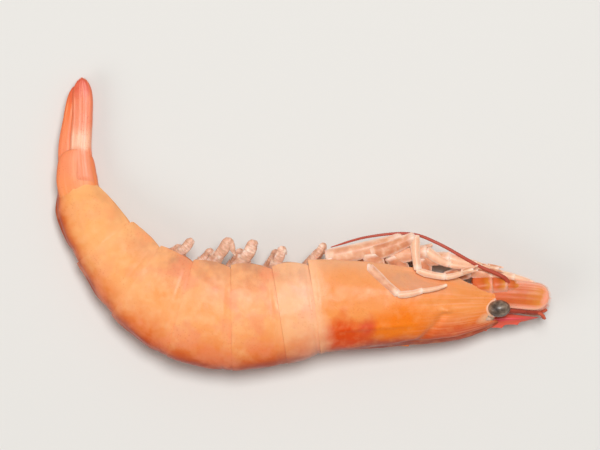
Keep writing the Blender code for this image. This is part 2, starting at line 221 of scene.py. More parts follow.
def lay_grid(name, rows, columns, place):
    """Adds a grid and lays each point by place(along, around), which gives its place and its mark."""
    bpy.ops.object.select_all(action="DESELECT")
    bpy.ops.mesh.primitive_grid_add(x_subdivisions=rows, y_subdivisions=columns, size=1.0)
    piece = bpy.context.active_object
    piece.name = name
    piece.data.name = name
    marks = piece.data.attributes.new(MARK, "FLOAT_VECTOR", "POINT")
    for vert in piece.data.vertices:
        point, mark = place(vert.co.x + 0.5, vert.co.y + 0.5)
        point.z = max(point.z, TABLE_GAP)
        vert.co = point
        marks.data[vert.index].vector = mark
    return piece


def close_seams(piece):
    """Merges the grid's edges where they meet, and turns its faces outwards."""
    select_only([piece])
    bpy.ops.object.mode_set(mode="EDIT")
    bpy.ops.mesh.select_all(action="SELECT")
    bpy.ops.mesh.remove_doubles(threshold=SEAM_GAP)
    bpy.ops.mesh.normals_make_consistent(inside=False)
    bpy.ops.object.mode_set(mode="OBJECT")
    return piece


def apply_modifier(piece, kind, **settings):
    """Adds a modifier with its settings and applies it."""
    select_only([piece])
    modifier = piece.modifiers.new(kind.title(), kind)
    for key, value in settings.items():
        setattr(modifier, key, value)
    bpy.ops.object.modifier_apply(modifier=modifier.name)


def joined(name, pieces):
    """Joins pieces into one object."""
    select_only(pieces)
    if len(pieces) > 1:
        bpy.ops.object.join()
    pieces[0].name = name
    pieces[0].data.name = name
    return pieces[0]


def dress(piece, material):
    """Shades a finished piece, gives it its material, and tells the frame what it stands for."""
    piece.data.materials.clear()
    piece.data.materials.append(material)
    select_only([piece])
    bpy.ops.object.shade_smooth_by_angle(angle=SMOOTH_ANGLE)
    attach(piece, BODY)
    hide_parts(NODE)


def shell_sheet(name, rows, columns, place, thickness):
    """A thin hard sheet: a grid laid in shape, then thickened inwards."""
    piece = lay_grid(name, rows, columns, place)
    apply_modifier(piece, "SOLIDIFY", thickness=thickness, offset=-1.0, use_even_offset=True)
    return piece


def tube_point(centre, across, over, angle, breadth, thickness):
    """A point on a limb's skin, at an angle round its centre."""
    return centre + across * (math.cos(angle) * breadth * MM) + over * (math.sin(angle) * thickness * MM)


def tube_frame(start, end):
    """Directions across a limb in the spine's plane, and over it."""
    along = (end - start).normalized()
    across = along.cross(Vector((0.0, 0.0, 1.0))).normalized()
    over = across.cross(along).normalized()
    return along, across, over


# How an article of a limb swells from its socket, over its shaft, to the rim that holds the next one.
ARTICLE_SWELL = (
    (0.0, 0.0),
    (0.004, 0.5),
    (0.02, 0.76),
    (0.08, 0.87),
    (0.3, 0.96),
    (0.62, 0.94),
    (0.86, 0.96),
    (0.945, 1.0),
    (0.985, 0.92),
    (1.0, 0.6),
    (1.006, 0.0),
)
SOCKET_DEPTH = 0.5 * MM


def article(name, start, end, number, sides, curve):
    """A segment between two joints, each a place in body measures with half a breadth and thickness."""
    first, last = body_point(*start[:3]), body_point(*end[:3])
    first += (first - last).normalized() * SOCKET_DEPTH
    _, across, over = tube_frame(first, last)
    rows = len(ARTICLE_SWELL) - 1

    def place(along, around):
        share, swell = ARTICLE_SWELL[round(along * rows)]
        angle = 2 * math.pi * around
        # A low keel along both edges keeps the shaft from being a round tube.
        swell *= 1.0 + 0.1 * math.cos(2 * angle) + 0.05 * math.cos(4 * angle)
        breadth = start[3] + (end[3] - start[3]) * share
        thickness = start[4] + (end[4] - start[4]) * share
        centre = first.lerp(last, share) + across * (curve * math.sin(math.pi * share) * MM)
        point = tube_point(centre, across, over, angle, breadth * swell, thickness * swell)
        point += (point - centre) * lumps(point, 0.9, 0.16)
        return point, (share, abs(2 * around - 1), number)

    return close_seams(lay_grid(name, rows, sides, place))


def chain(name, joints, sides=12, curve=0.0):
    """A limb of several articles, each a little narrower where it leaves the last one's rim."""
    pieces = []
    count = len(joints) - 1
    for number, (start, end) in enumerate(zip(joints, joints[1:])):
        pieces.append(article(f"{name}_{number}", start, end, number / count, sides, curve))
    return pieces


def path_through(rows):
    """A smooth path through rows of station, height, side, half breadth and half thickness."""
    places = [body_point(*row[:3]) for row in rows]
    last = len(rows) - 1

    def at(share):
        """Centre, half breadth and half thickness at a share of the path."""
        run = min(1.0, max(0.0, share)) * last
        i = min(int(run), last - 1)
        t = run - i
        p1, p2 = places[i], places[i + 1]
        p0 = places[i - 1] if i > 0 else 2 * p1 - p2
        p3 = places[i + 2] if i + 2 <= last else 2 * p2 - p1
        bend = (2 * p0 - 5 * p1 + 4 * p2 - p3) * t**2 + (3 * p1 - p0 - 3 * p2 + p3) * t**3
        centre = p1 + ((p2 - p0) * t + bend) / 2
        sizes = [a + (b - a) * t for a, b in zip(rows[i][3:], rows[i + 1][3:])]
        return centre, *sizes

    return at


def feeler(name, rows, rings, tone=0.6):
    """A long thin whip with fine rings all along it."""
    at = path_through(rows)

    def place(along, around):
        centre, breadth, thickness = at(along)
        _, across, over = tube_frame(at(along - 0.01)[0], at(along + 0.01)[0])
        swell = 1.0 + RING_DEPTH * math.cos(along * rings * math.pi)
        swell *= min(1.0, 0.5 + 8.0 * (1.0 - along)) if 0.0 < along < 1.0 else 0.0
        angle = 2 * math.pi * around
        point = tube_point(centre, across, over, angle, breadth * swell, thickness * swell)
        return point, (along, tone, 0.0)

    return close_seams(lay_grid(name, rings, FEELER_SIDES, place))


def blade(name, rows, ridges=(), cup=0.0, steps=36, sides=36, rings=0.0, power=4.0, tone=1.0):
    """A flat limb with a round tip: ridges run along it, cup bows it outwards, and rings cross it."""
    at = path_through(rows)
    outwards = math.copysign(1.0, rows[-1][2])

    def place(along, around):
        share = math.sin(math.pi / 2 * along)
        centre, breadth, thickness = at(share)
        _, across, over = tube_frame(at(share - 0.01)[0], at(share + 0.01)[0])
        angle = 2 * math.pi * around
        reach, level = math.cos(angle), math.sin(angle)
        # Both ends close to an edge, so that the blade is one closed skin.
        end = blend(0.0, 0.04, along) * blend(1.0, 0.94, along)
        ring = 1.0 + rings * math.sin(along * steps * math.pi)
        half = breadth * math.sqrt(max(0.0, 1.0 - share**power)) * ring
        deep = thickness * abs(level) ** 0.7 * ring
        rib = sum(height * bump(reach, middle, 0.07) for middle, height in ridges)
        deep += rib * blend(0.98, 0.7, share) * (1.0 if level * outwards > 0 else 0.3)
        bow = cup * (1.0 - reach**2) * outwards * math.sqrt(max(0.0, 1.0 - share**2))
        over_by = math.copysign(deep * end, level) + bow
        point = centre + across * (reach * half * MM) + over * (over_by * MM)
        return point, (share * tone, abs(reach), (reach + 1.0) / 2)

    return close_seams(lay_grid(name, steps, sides, place))


def fringe(name, rows, hair_length, count, reach_from, power=4.0, spread=1.2):
    """A row of fine hairs round the edge of a blade of the same rows."""
    at = path_through(rows)
    up = Vector((0.0, 0.0, 1.0))
    points, faces, marks = [], [], []
    for edge in (1.0, -1.0):
        for i in range(count):
            share = reach_from + (1.0 - reach_from) * math.sin(math.pi / 2 * (i + 0.5) / count)
            centre, breadth, _ = at(share)
            along, across, _ = tube_frame(at(share - 0.01)[0], at(share + 0.01)[0])
            outwards = across * edge
            foot = centre + outwards * ((breadth * math.sqrt(max(0.0, 1.0 - share**power)) - 0.2) * MM)
            # Hairs stand out at the sides, and lie along the blade at its tip.
            lean = (along * (1.1 + share) + outwards * (spread * (1.0 - 0.8 * share**4))).normalized()
            lean.z += 0.12 * noise.noise(foot / (0.7 * MM))
            length = hair_length * (0.8 + 0.35 * noise.noise(foot / (0.9 * MM))) * MM
            sideways = lean.cross(up).normalized() * HAIR_RADIUS
            start = len(points)
            for corner in (sideways, up * HAIR_RADIUS - sideways / 2, -up * HAIR_RADIUS - sideways / 2):
                points.append(foot + corner)
            points.append(foot + lean * length)
            faces += [(start, start + 1, start + 3), (start + 1, start + 2, start + 3)]
            faces += [(start + 2, start, start + 3), (start + 2, start + 1, start)]
            marks += [(share, 1.0, 1.0)] * 4
    mesh = bpy.data.meshes.new(name)
    mesh.from_pydata([point[:] for point in points], [], faces)
    attribute = mesh.attributes.new(MARK, "FLOAT_VECTOR", "POINT")
    for i, mark in enumerate(marks):
        attribute.data[i].vector = mark
    mesh.uv_layers.new(name="UVMap")
    piece = bpy.data.objects.new(name, mesh)
    bpy.context.scene.collection.objects.link(piece)
    return piece


def add_node(tree, kind, inputs=(), stops=(), **settings):
    """Adds a node. Its inputs are values, nodes or outputs, in order or by socket; stops fill a ramp."""
    node = tree.nodes.new("ShaderNode" + kind)
    for key, value in settings.items():
        setattr(node, key, value)
    for socket, value in inputs.items() if isinstance(inputs, dict) else enumerate(inputs):
        if isinstance(value, bpy.types.Node):
            value = value.outputs[0]
        if isinstance(value, bpy.types.NodeSocket):
            tree.links.new(value, node.inputs[socket])
        else:
            node.inputs[socket].default_value = value
    if stops:
        ramp = node.color_ramp
        while len(ramp.elements) < len(stops):
            ramp.elements.new(1.0)
        for element, (position, colour) in zip(ramp.elements, stops):
            element.position = position
            element.color = linear(colour) if isinstance(colour, str) else (*colour, 1.0)
    return node


def skin_material(name, paint, pit_size, pit_depth, roughness, coat, depth, glow):
    """Damp cooked shell: a colour under veils, fine pits, a wet film, and light that sinks in."""
    material = bpy.data.materials.new(name)
    material.use_nodes = True
    tree = material.node_tree
    tree.nodes.clear()
    mark = add_node(tree, "Attribute", attribute_name=MARK)
    split = add_node(tree, "SeparateXYZ", [mark.outputs["Vector"]])
    place = add_node(tree, "TexCoord").outputs["Object"]
    colour, veils = paint(tree, place, split.outputs)
    for factor, veil in veils:
        mixed = add_node(tree, "Mix", {0: factor, 6: colour, 7: linear(veil)}, data_type="RGBA")
        colour = mixed.outputs[2]
    pits = add_node(
        tree, "TexNoise",
        {"Vector": place, "Scale": 1.0 / (pit_size * MM), "Detail": 3.0, "Roughness": 0.6},
    )
    film = add_node(tree, "TexNoise", {"Vector": place, "Scale": 1.0 / (4.0 * MM), "Detail": 2.0})
    gloss = add_node(tree, "MapRange", [film, 0.3, 0.7, roughness - 0.1, roughness + 0.12])
    relief = add_node(tree, "Bump", {"Height": pits, "Strength": 0.6, "Distance": pit_depth * MM})
    shader = add_node(
        tree, "BsdfPrincipled",
        {
            "Base Color": colour, "Roughness": gloss, "Normal": relief, "IOR": 1.36,
            "Specular IOR Level": 0.35, "Coat Weight": coat, "Coat Roughness": 0.22, "Coat IOR": 1.34,
            "Subsurface Weight": glow, "Subsurface Radius": (1.0, 0.42, 0.2),
            "Subsurface Scale": depth * MM,
        },
    )
    add_node(tree, "OutputMaterial", {"Surface": shader})
    return material


def speckles(tree, place, dot_spacing, amount):
    """Share of the shell's tiny pigment dots, which gather in loose patches."""
    dots = add_node(tree, "TexVoronoi", {"Vector": place, "Scale": 1.0 / (dot_spacing * MM)})
    spread = add_node(tree, "TexNoise", {"Vector": place, "Scale": 1.0 / (7.0 * MM), "Detail": 3.0})
    round_dots = add_node(tree, "MapRange", [dots.outputs["Distance"], 0.12, 0.34, 1.0, 0.0])
    patches = add_node(tree, "MapRange", [spread, 0.42, 0.62, 0.0, amount])
    return add_node(tree, "Math", [round_dots, patches], operation="MULTIPLY")


def wavering(tree, cloud, amount, mark):
    """A place on the body moved to and fro by a cloud, so that the colours along it have ragged edges."""
    wobble = add_node(tree, "Math", [cloud, 0.5], operation="SUBTRACT")
    return add_node(tree, "Math", [wobble, amount, mark], operation="MULTIPLY_ADD")


def streaks(tree, across, along, stretch, detail, faint, full, strength):
    """Share of fine lines over two marks of the body: a cloud that is stretched along one of them."""
    flat = add_node(tree, "CombineXYZ", [across, along])
    stretched = add_node(tree, "VectorMath", [flat, (*stretch, 1.0)], operation="MULTIPLY")
    grain = add_node(tree, "TexNoise", {"Vector": stretched, "Scale": 1.0, "Detail": detail})
    return add_node(tree, "MapRange", [grain, faint, full, 0.0, strength])


def cooked_plate_material(flank_colour):
    """Cooked tail shell: orange back, frosted peach sides, and a paler front and rear to each plate. The
    deep red-orange along the middle of the back is partly the shell's own colour and partly painted
    shade.
    """

    def paint(tree, place, marks):
        blotch = add_node(tree, "TexNoise", {"Vector": place, "Scale": 1.0 / (6.5 * MM), "Detail": 4.0})
        around = wavering(tree, blotch, 0.13, marks[1])
        # Painted shade: the ramp darkens to deep red-orange towards the middle of the back. This is
        # partly the cooked shell's colour and partly shade painted into it.
        base = add_node(
            tree, "ValToRGB", [around],
            stops=(
                (0.0, "#a63200"), (0.12, "#b43a04"), (0.24, "#d6540e"), (0.35, "#f08038"),
                (0.46, "#f99c5c"), (0.57, flank_colour), (0.68, "#f59850"), (0.82, "#ea925c"),
                (1.0, "#c88e6c"),
            ),
        )
        cloud = add_node(tree, "TexNoise", {"Vector": place, "Scale": 1.0 / (4.0 * MM), "Detail": 3.0})
        shifted = wavering(tree, cloud, 0.4, marks[2])
        # Each plate is paler at its front and rear, and haze and frost lie over its flank.
        band = add_node(
            tree, "ValToRGB", [shifted],
            stops=((0.12, "#ffffff"), (0.45, "#000000"), (0.62, "#000000"), (0.98, "#ffffff")),
        )
        haze = add_node(tree, "MapRange", [cloud, 0.45, 0.64, 0.0, 1.0])
        flecks = add_node(tree, "TexNoise", {"Vector": place, "Scale": 1.0 / (2.2 * MM), "Detail": 1.0})
        frost = add_node(tree, "MapRange", [flecks, 0.45, 0.75, 0.0, 0.7])
        # The rear of the tail is more yellow.
        straw = add_node(tree, "MapRange", [marks[0], 0.6, 0.76, 0.0, 0.75])
        flank = add_node(tree, "MapRange", [around, 0.15, 0.5, 0.05, 0.55])
        pale, mottle, sprinkled, sallow = (
            add_node(tree, "Math", [share, flank], operation="MULTIPLY")
            for share in (band, haze, frost, straw)
        )
        # A deeper orange patch lies high on the middle of each plate.
        lengthways = add_node(
            tree, "ValToRGB", [shifted],
            stops=((0.15, "#000000"), (0.42, "#ffffff"), (0.66, "#ffffff"), (0.95, "#000000")),
        )
        upwards = add_node(
            tree, "ValToRGB", [around],
            stops=((0.14, "#000000"), (0.24, "#ffffff"), (0.42, "#ffffff"), (0.56, "#000000")),
        )
        high = add_node(tree, "Math", [lengthways, upwards], operation="MULTIPLY")
        towards_tail = add_node(tree, "MapRange", [marks[0], 0.6, 0.74, 0.3, 0.05])
        patch = add_node(tree, "Math", [high, towards_tail], operation="MULTIPLY")
        # A rosy tint comes and goes in blots, and the first plate, next to the head, is the palest.
        blot = add_node(tree, "MapRange", [blotch, 0.5, 0.64, 0.0, 0.5])
        first = add_node(tree, "MapRange", [marks[0], 0.37, 0.43, 0.27, 0.0])
        veils = [
            (pale, "#fcb078"), (mottle, "#fcac70"), (sprinkled, "#febc88"), (patch, "#ee7430"),
            (blot, "#f48a62"), (sallow, "#ffb870"), (first, "#ffdcc0"),
        ]
        return base, [*veils, (speckles(tree, place, 0.75, 0.25), "#d9622e")]

    return skin_material("cooked prawn tail shell", paint, 0.35, 0.07, 0.4, 0.14, 1.5, 0.18)


# Stains of the head shell, and one patch of painted shade: middle along it and round it, reach each way,
# strength and colour.
HEAD_STAINS_AND_SHADE = (
    (0.88, 0.33, 0.2, 0.24, 1.0, "#e04a0a"),
    (0.52, 0.42, 0.22, 0.22, 1.0, "#f87c14"),
    (0.72, 0.42, 0.06, 0.14, 0.8, "#d8442c"),
    (0.2, 0.2, 0.2, 0.25, 0.45, "#e06040"),
    # Painted shade, not a stain: a pale brown darkening low on the side of the head, next to the legs.
    (0.44, 0.83, 0.2, 0.12, 0.7, "#d49a7a"),
    (0.0, 0.38, 0.06, 0.14, 0.8, "#eeb48c"),
    (1.02, 0.6, 0.1, 0.9, 0.85, "#fdba8c"),
)


def cooked_carapace_material(flank_colour):
    """Cooked head shell: orange, with a yellow patch over the liver and a red stain at its rear. Its back
    turns deep red-orange, partly its own colour and partly painted shade, and a patch of painted shade
    lies low on its side.
    """

    def paint(tree, place, marks):
        blotch = add_node(tree, "TexNoise", {"Vector": place, "Scale": 1.0 / (6.0 * MM), "Detail": 4.0})
        around = wavering(tree, blotch, 0.16, marks[1])
        # Painted shade: the ramp darkens to deep red-orange towards the middle of the back. This is
        # partly the cooked shell's colour and partly shade painted into it.
        base = add_node(
            tree, "ValToRGB", [around],
            stops=(
                (0.0, "#963410"), (0.13, "#b03e10"), (0.25, "#d85818"), (0.4, "#ee7a32"),
                (0.58, flank_colour), (0.74, "#ee8e46"), (0.86, "#f0985a"), (1.0, "#e6a67c"),
            ),
        )
        veils = []
        for middle, round_middle, reach, round_reach, strength, hex_colour in HEAD_STAINS_AND_SHADE:
            off = add_node(tree, "Math", [marks[2], middle], operation="SUBTRACT")
            off_round = add_node(tree, "Math", [marks[1], round_middle], operation="SUBTRACT")
            scaled = add_node(tree, "Math", [off, reach], operation="DIVIDE")
            scaled_round = add_node(tree, "Math", [off_round, round_reach], operation="DIVIDE")
            flat = add_node(tree, "CombineXYZ", [scaled, scaled_round])
            far = add_node(tree, "VectorMath", [flat], operation="LENGTH")
            ragged = wavering(tree, blotch, 1.6, far.outputs["Value"])
            veils.append((add_node(tree, "MapRange", [ragged, 0.4, 1.15, strength, 0.0]), hex_colour))
        # Fine paler lines run lengthways over the front of the head.
        line = streaks(tree, marks[2], marks[1], (3.0, 34.0), 2.0, 0.48, 0.66, 0.42)
        front = add_node(tree, "MapRange", [marks[2], 0.2, 0.6, 1.0, 0.0])
        lined = add_node(tree, "Math", [line, front], operation="MULTIPLY")
        cloud = add_node(tree, "TexNoise", {"Vector": place, "Scale": 1.0 / (2.6 * MM), "Detail": 5.0})
        haze = add_node(tree, "MapRange", [cloud, 0.5, 0.78, 0.0, 0.36])
        veils += [(lined, "#faa87c"), (haze, "#fcaa6a")]
        return base, [*veils, (speckles(tree, place, 0.6, 0.22), "#cc4a1c")]

    return skin_material("cooked prawn head shell", paint, 0.35, 0.08, 0.4, 0.16, 1.4, 0.18)


def cooked_flesh_material(main_colour):
    """Cooked flesh and the soft skin under the body: creamy, with a blush of orange."""

    def paint(tree, place, marks):
        grain = add_node(tree, "TexNoise", {"Vector": place, "Scale": 1.0 / (2.0 * MM), "Detail": 5.0})
        stops = ((0.3, "#f4c4a4"), (0.55, main_colour), (0.75, "#ffeedf"))
        return add_node(tree, "ValToRGB", [grain], stops=stops), []

    return skin_material("cooked prawn flesh", paint, 0.5, 0.08, 0.42, 0.25, 3.0, 0.4)


def leg_shell_material(main_colour):
    """Thin cooked leg shell: pale pink, creamier at its joints and edges and on the slim segments. Its
    base colour is darker than the shell's own pink, partly painted shade for the shade between the legs.
    """

    def paint(tree, place, marks):
        cloud = add_node(tree, "TexNoise", {"Vector": place, "Scale": 1.0 / (2.2 * MM), "Detail": 4.0})
        # Painted shade: the darker stops are partly the shell's colour and partly the shade that falls
        # between the legs, painted in.
        stops = ((0.3, "#ca7c58"), (0.5, main_colour), (0.72, "#f0be9e"))
        base = add_node(tree, "ValToRGB", [cloud], stops=stops)
        slim = add_node(tree, "MapRange", [marks[2], 0.2, 0.35, 0.0, 0.65])
        joint = add_node(
            tree, "ValToRGB", [marks[0]],
            stops=((0.0, "#ffffff"), (0.12, "#000000"), (0.8, "#000000"), (0.95, "#ffffff")),
        )
        edge = add_node(
            tree, "ValToRGB", [marks[1]],
            stops=((0.0, "#ffffff"), (0.22, "#000000"), (0.78, "#000000"), (1.0, "#ffffff")),
        )
        either = add_node(tree, "Math", [joint, edge], operation="MAXIMUM")
        strength = add_node(tree, "Math", [either, 0.75], operation="MULTIPLY")
        dots = speckles(tree, place, 0.6, 0.3)
        return base, [(slim, "#ffd0ae"), (strength, "#ffe0cc"), (dots, "#e0603c")]

    return skin_material("cooked prawn leg shell", paint, 0.3, 0.03, 0.36, 0.22, 0.5, 0.15)


def feeler_material():
    """Stalks and whips of the head: dull coral, with browner rims. The dark browns are partly painted
    shade, for the shade on the stalks between the scale and the rostrum.
    """

    def paint(tree, place, marks):
        cloud = add_node(tree, "TexNoise", {"Vector": place, "Scale": 1.0 / (2.0 * MM), "Detail": 4.0})
        around = add_node(tree, "Math", [cloud, 0.3, marks[1]], operation="MULTIPLY_ADD")
        # Painted shade: the darker browns are partly the stalks' colour and partly the shade between the
        # scale and the rostrum, painted in.
        stops = ((0.1, "#d06e4a"), (0.5, "#c65e44"), (0.8, "#b44c3a"), (1.0, "#9e3e2c"))
        base = add_node(tree, "ValToRGB", [around], stops=stops)
        return base, [(speckles(tree, place, 0.5, 0.4), "#b84030")]

    return skin_material("cooked prawn feeler shell", paint, 0.3, 0.03, 0.36, 0.2, 0.5, 0.15)


def rostrum_material():
    """Saw-toothed blade over the eyes: salmon at its root, pink red along its edges and at its tip."""

    def paint(tree, place, marks):
        cloud = add_node(tree, "TexNoise", {"Vector": place, "Scale": 1.0 / (2.5 * MM), "Detail": 4.0})
        stops = ((0.02, "#d8604e"), (0.14, "#dc5c48"), (0.26, "#e07048"), (0.42, "#e27a40"))
        base = add_node(tree, "ValToRGB", [wavering(tree, cloud, 0.3, marks[0])], stops=stops)
        ridge = add_node(tree, "MapRange", [marks[1], 0.1, 0.45, 0.7, 0.0])
        return base, [(ridge, "#e4485a"), (speckles(tree, place, 0.5, 0.3), "#cc4638")]

    return skin_material("cooked prawn rostrum shell", paint, 0.3, 0.03, 0.38, 0.2, 0.5, 0.15)


def scale_material():
    """Scales of the head: thin and amber, with a pale pink rim and tip. The amber is darkened as painted
    shade over the front of the head.
    """

    def paint(tree, place, marks):
        cloud = add_node(tree, "TexNoise", {"Vector": place, "Scale": 1.0 / (2.4 * MM), "Detail": 4.0})
        # Painted shade: the base stops are darker than the scale's own amber, for the shade over the
        # front of the head.
        stops = ((0.2, "#da6c3c"), (0.5, "#ce6622"), (0.78, "#d88430"), (0.92, "#f29e80"))
        base = add_node(tree, "ValToRGB", [wavering(tree, cloud, 0.35, marks[0])], stops=stops)
        rim = add_node(tree, "MapRange", [marks[1], 0.6, 0.88, 0.0, 0.9])
        return base, [(rim, "#faae94"), (speckles(tree, place, 0.5, 0.35), "#d4583a")]

    return skin_material("cooked prawn head scale", paint, 0.3, 0.03, 0.42, 0.16, 1.4, 0.4)


def paddle_material(main_colour):
    """Swimmerets: creamy and see-through, with a rosy tint and fine greyish lines across the branches."""

    def paint(tree, place, marks):
        cloud = add_node(tree, "TexNoise", {"Vector": place, "Scale": 1.0 / (1.8 * MM), "Detail": 4.0})
        stops = ((0.3, "#cc9274"), (0.5, main_colour), (0.7, "#fcdcca"))
        base = add_node(tree, "ValToRGB", [cloud], stops=stops)
        line = streaks(tree, marks[0], marks[2], (20.0, 1.2), 1.0, 0.5, 0.62, 0.5)
        return base, [(line, "#bc8a70"), (speckles(tree, place, 0.6, 0.3), "#dc7456")]

    return skin_material("cooked prawn paddle shell", paint, 0.3, 0.04, 0.42, 0.16, 0.5, 0.15)


def fan_material(name, stops, ray_colour):
    """Tail fan shell, coloured from root to tip by the stops, with paler rays along it and a warm rim."""

    def paint(tree, place, marks):
        cloud = add_node(tree, "TexNoise", {"Vector": place, "Scale": 1.0 / (2.5 * MM), "Detail": 4.0})
        base = add_node(tree, "ValToRGB", [wavering(tree, cloud, 0.18, marks[0])], stops=stops)
        ray = streaks(tree, marks[0], marks[2], (3.0, 13.0), 3.0, 0.46, 0.66, 0.55)
        rim = add_node(tree, "MapRange", [marks[1], 0.74, 1.0, 0.0, 0.5])
        dots = speckles(tree, place, 0.55, 0.4)
        return base, [(ray, ray_colour), (rim, "#e67040"), (dots, "#cf4434")]

    return skin_material(name, paint, 0.3, 0.05, 0.4, 0.16, 1.2, 0.25)


def eye_material(main_colour):
    """Cooked eye: almost black, clouded by a milky haze, with the fine grain of its facets."""
    material = bpy.data.materials.new("cooked prawn eye")
    material.use_nodes = True
    tree = material.node_tree
    tree.nodes.clear()
    place = add_node(tree, "TexCoord").outputs["Object"]
    haze = add_node(tree, "TexNoise", {"Vector": place, "Scale": 1.0 / (1.6 * MM), "Detail": 4.0})
    colour = add_node(
        tree, "ValToRGB", [haze],
        stops=((0.3, "#33231a"), (0.47, main_colour), (0.6, "#83705f"), (0.78, "#a8937f")),
    )
    facets = add_node(tree, "TexVoronoi", {"Vector": place, "Scale": 1.0 / (0.16 * MM)})
    relief = add_node(
        tree, "Bump", {"Height": facets.outputs["Distance"], "Strength": 0.5, "Distance": 0.02 * MM}
    )
    shader = add_node(
        tree, "BsdfPrincipled",
        {
            "Base Color": colour, "Roughness": 0.45, "Normal": relief, "Coat Weight": 0.3,
            "Coat Roughness": 0.2,
        },
    )
    add_node(tree, "OutputMaterial", {"Surface": shader})
    return material


def floor_material(colour):
    """Matt white table top."""
    material = bpy.data.materials.new("matt white table top")
    material.use_nodes = True
    shader = material.node_tree.nodes["Principled BSDF"]
    shader.inputs["Base Color"].default_value = (*colour, 1.0)
    shader.inputs["Roughness"].default_value = 0.7
    return material


# Height of the keel along the back of the last plates, in mm.
PLATE_KEELS = {"tail_4": 0.25, "tail_5": 0.4, "tail_6": 0.6}


def plate_lobe(across):
    """How far a tail plate's lower corner hangs, from its front at 0 to its rear at 1."""
    return 0.35 + 0.65 * math.sin(math.pi * min(1.0, max(0.0, across) / 1.3)) ** 0.8


def tail_plate(name, thickness, overlap):
    """One tail plate. Its front tucks under the plate before it, and its rear stands over the next."""
    start = part_start(name)
    length = min(BODY_PARTS[name][0], TRUNK_END - start)
    is_last = name == "tail_6"
    keel = PLATE_KEELS.get(name, 0.0)
    front, rear = -PLATE_TUCK / length, 1.0 + (0.0 if is_last else overlap / MM / length)

    def place(along, around):
        across = front + (rear - front) * along
        share = 1.0 - 2.0 * around
        station = start + length * across
        # The front dips under the plate before it, and the rear flares, or on the last plate sinks.
        sink = blend(0.72, 1.0, across) if is_last else 0.0
        tuck = -0.55 * blend(0.12, front, across) - 0.7 * sink
        flare = (0.0 if is_last else 0.14 + 0.22 * blend(0.06, 0.4, abs(share))) * max(0.0, across) ** 2
        # A groove crosses the back, a keel runs along it, and a hinge knob stands on each side.
        groove = -0.16 * bump(across, 0.24, 0.035) * (1.0 - abs(share) ** 3)
        ridge = keel * bump(share, 0.0, 0.035) * blend(0.1, 0.6, across) * (1.0 - sink)
        side_ridge = (0.12 if is_last else 0.0) * bump(abs(share), 0.5, 0.03) * blend(0.1, 0.5, across)
        hinge = 0.22 * bump(abs(share), 0.62, 0.05) * bump(across, 0.06, 0.06)
        rim = 0.1 * bump(abs(share), 1.0, 0.03)
        height, side = shell_outline(station, share, 0.0, plate_lobe(across))
        lift = tuck + flare + groove + ridge + side_ridge + hinge + rim
        bare = body_point(swept(station, share), height, side)
        lift += lumps(bare, 5.0, 0.22) + lumps(bare, 1.7, 0.05)
        height, side = shell_outline(station, share, lift, plate_lobe(across))
        point = body_point(swept(station, share), height, side)
        return point, (station / BODY_LENGTH, abs(share), min(1.0, max(0.0, along)))

    return shell_sheet(name, 40, 120, place, thickness)


def head_shell_front(share):
    """Station of the head shell's front rim: an eye notch, a spine under it, and a cut-back corner."""
    reach = abs(share)
    rim = SHELL_FRONT + 3.2 * bump(reach, 0.36, 0.13) - 1.3 * bump(reach, 0.56, 0.035)
    return rim + 1.0 * bump(reach, 0.66, 0.06) + 9.0 * blend(0.72, 1.0, reach) ** 1.5


def head_relief(station, share):
    """Grooves, ridges and spines on the head shell, in mm."""
    reach = abs(share)
    relief = 0.0
    # The neck groove slants from the liver spine up and back to the middle of the back.
    groove_station = 25.0 + 10.0 * (1.0 - reach / 0.55)
    if reach < 0.6:
        groove = bump(station, groove_station, 1.3)
        relief -= 0.5 * groove * blend(0.08, 0.2, reach) * blend(0.6, 0.5, reach)
    relief += 0.7 * bump(station, 24.5, 1.1) * bump(reach, 0.56, 0.03)
    relief -= 0.3 * bump(reach, 0.64, 0.035) * blend(16.0, 22.0, station) * blend(34.0, 27.0, station)
    # Two long furrows run beside the rostrum, and a low ridge between them runs on over the back.
    relief -= 0.45 * bump(reach, 0.1, 0.035) * blend(12.0, 18.0, station) * blend(41.0, 33.0, station)
    relief += 0.45 * bump(reach, 0.0, 0.03) * blend(53.0, 44.0, station)
    # The gill chamber bulges, and a faint ridge runs along its top.
    relief += 0.25 * bump(reach, 0.42, 0.03) * blend(30.0, 38.0, station) * blend(55.0, 50.0, station)
    relief += 0.3 * bump(reach, 0.72, 0.16) * blend(26.0, 38.0, station) * blend(56.0, 50.0, station)
    relief += 0.14 * bump(reach, 0.985, 0.02)
    return relief


def head_shell(thickness):
    """The shell of the head, which ends just over the first tail plate."""
    rear = part_start("tail_1") + HEAD_OVERLAP

    def place(along, around):
        share = 1.0 - 2.0 * around
        front = head_shell_front(share)
        station = front + (rear - front) * along
        lift = head_relief(station, share)
        lift = lift + 0.38 * blend(0.6, 1.0, along) - 0.12 * bump(along, 0.965, 0.012)
        edge_share = min(1.0, 0.3 + 1.6 * max(0.0, (station - SHELL_FRONT) / 44.0))
        height, side = shell_outline(station, share, lift, edge_share)
        bare = body_point(swept(station, share), height, side)
        lift += lumps(bare, 6.0, 0.2) + lumps(bare, 1.6, 0.06)
        height, side = shell_outline(station, share, lift, edge_share)
        point = body_point(swept(station, share), height, side)
        return point, (station / BODY_LENGTH, abs(share), along)

    return shell_sheet("head_shell", 120, 150, place, thickness)


ROSTRUM_REAR = 38.0
ROSTRUM_FRONT = 0.6
ROSTRUM_TEETH = 8
ROSTRUM_HALF = 0.62  # half its thickness
TOOTH_HEIGHT = 0.65
TOOTH_RISE = 0.78  # share of a tooth over which it rises


def rostrum_top(station):
    """Height of the rostrum's upper edge between its teeth, in mm."""
    tip_station, tip_height = 1.2, 3.6
    run = max(0.0, (station - tip_station) / (ROSTRUM_REAR - tip_station))
    return tip_height + (smooth_value(TRUNK, 1, ROSTRUM_REAR) - 3.15) * run**0.85


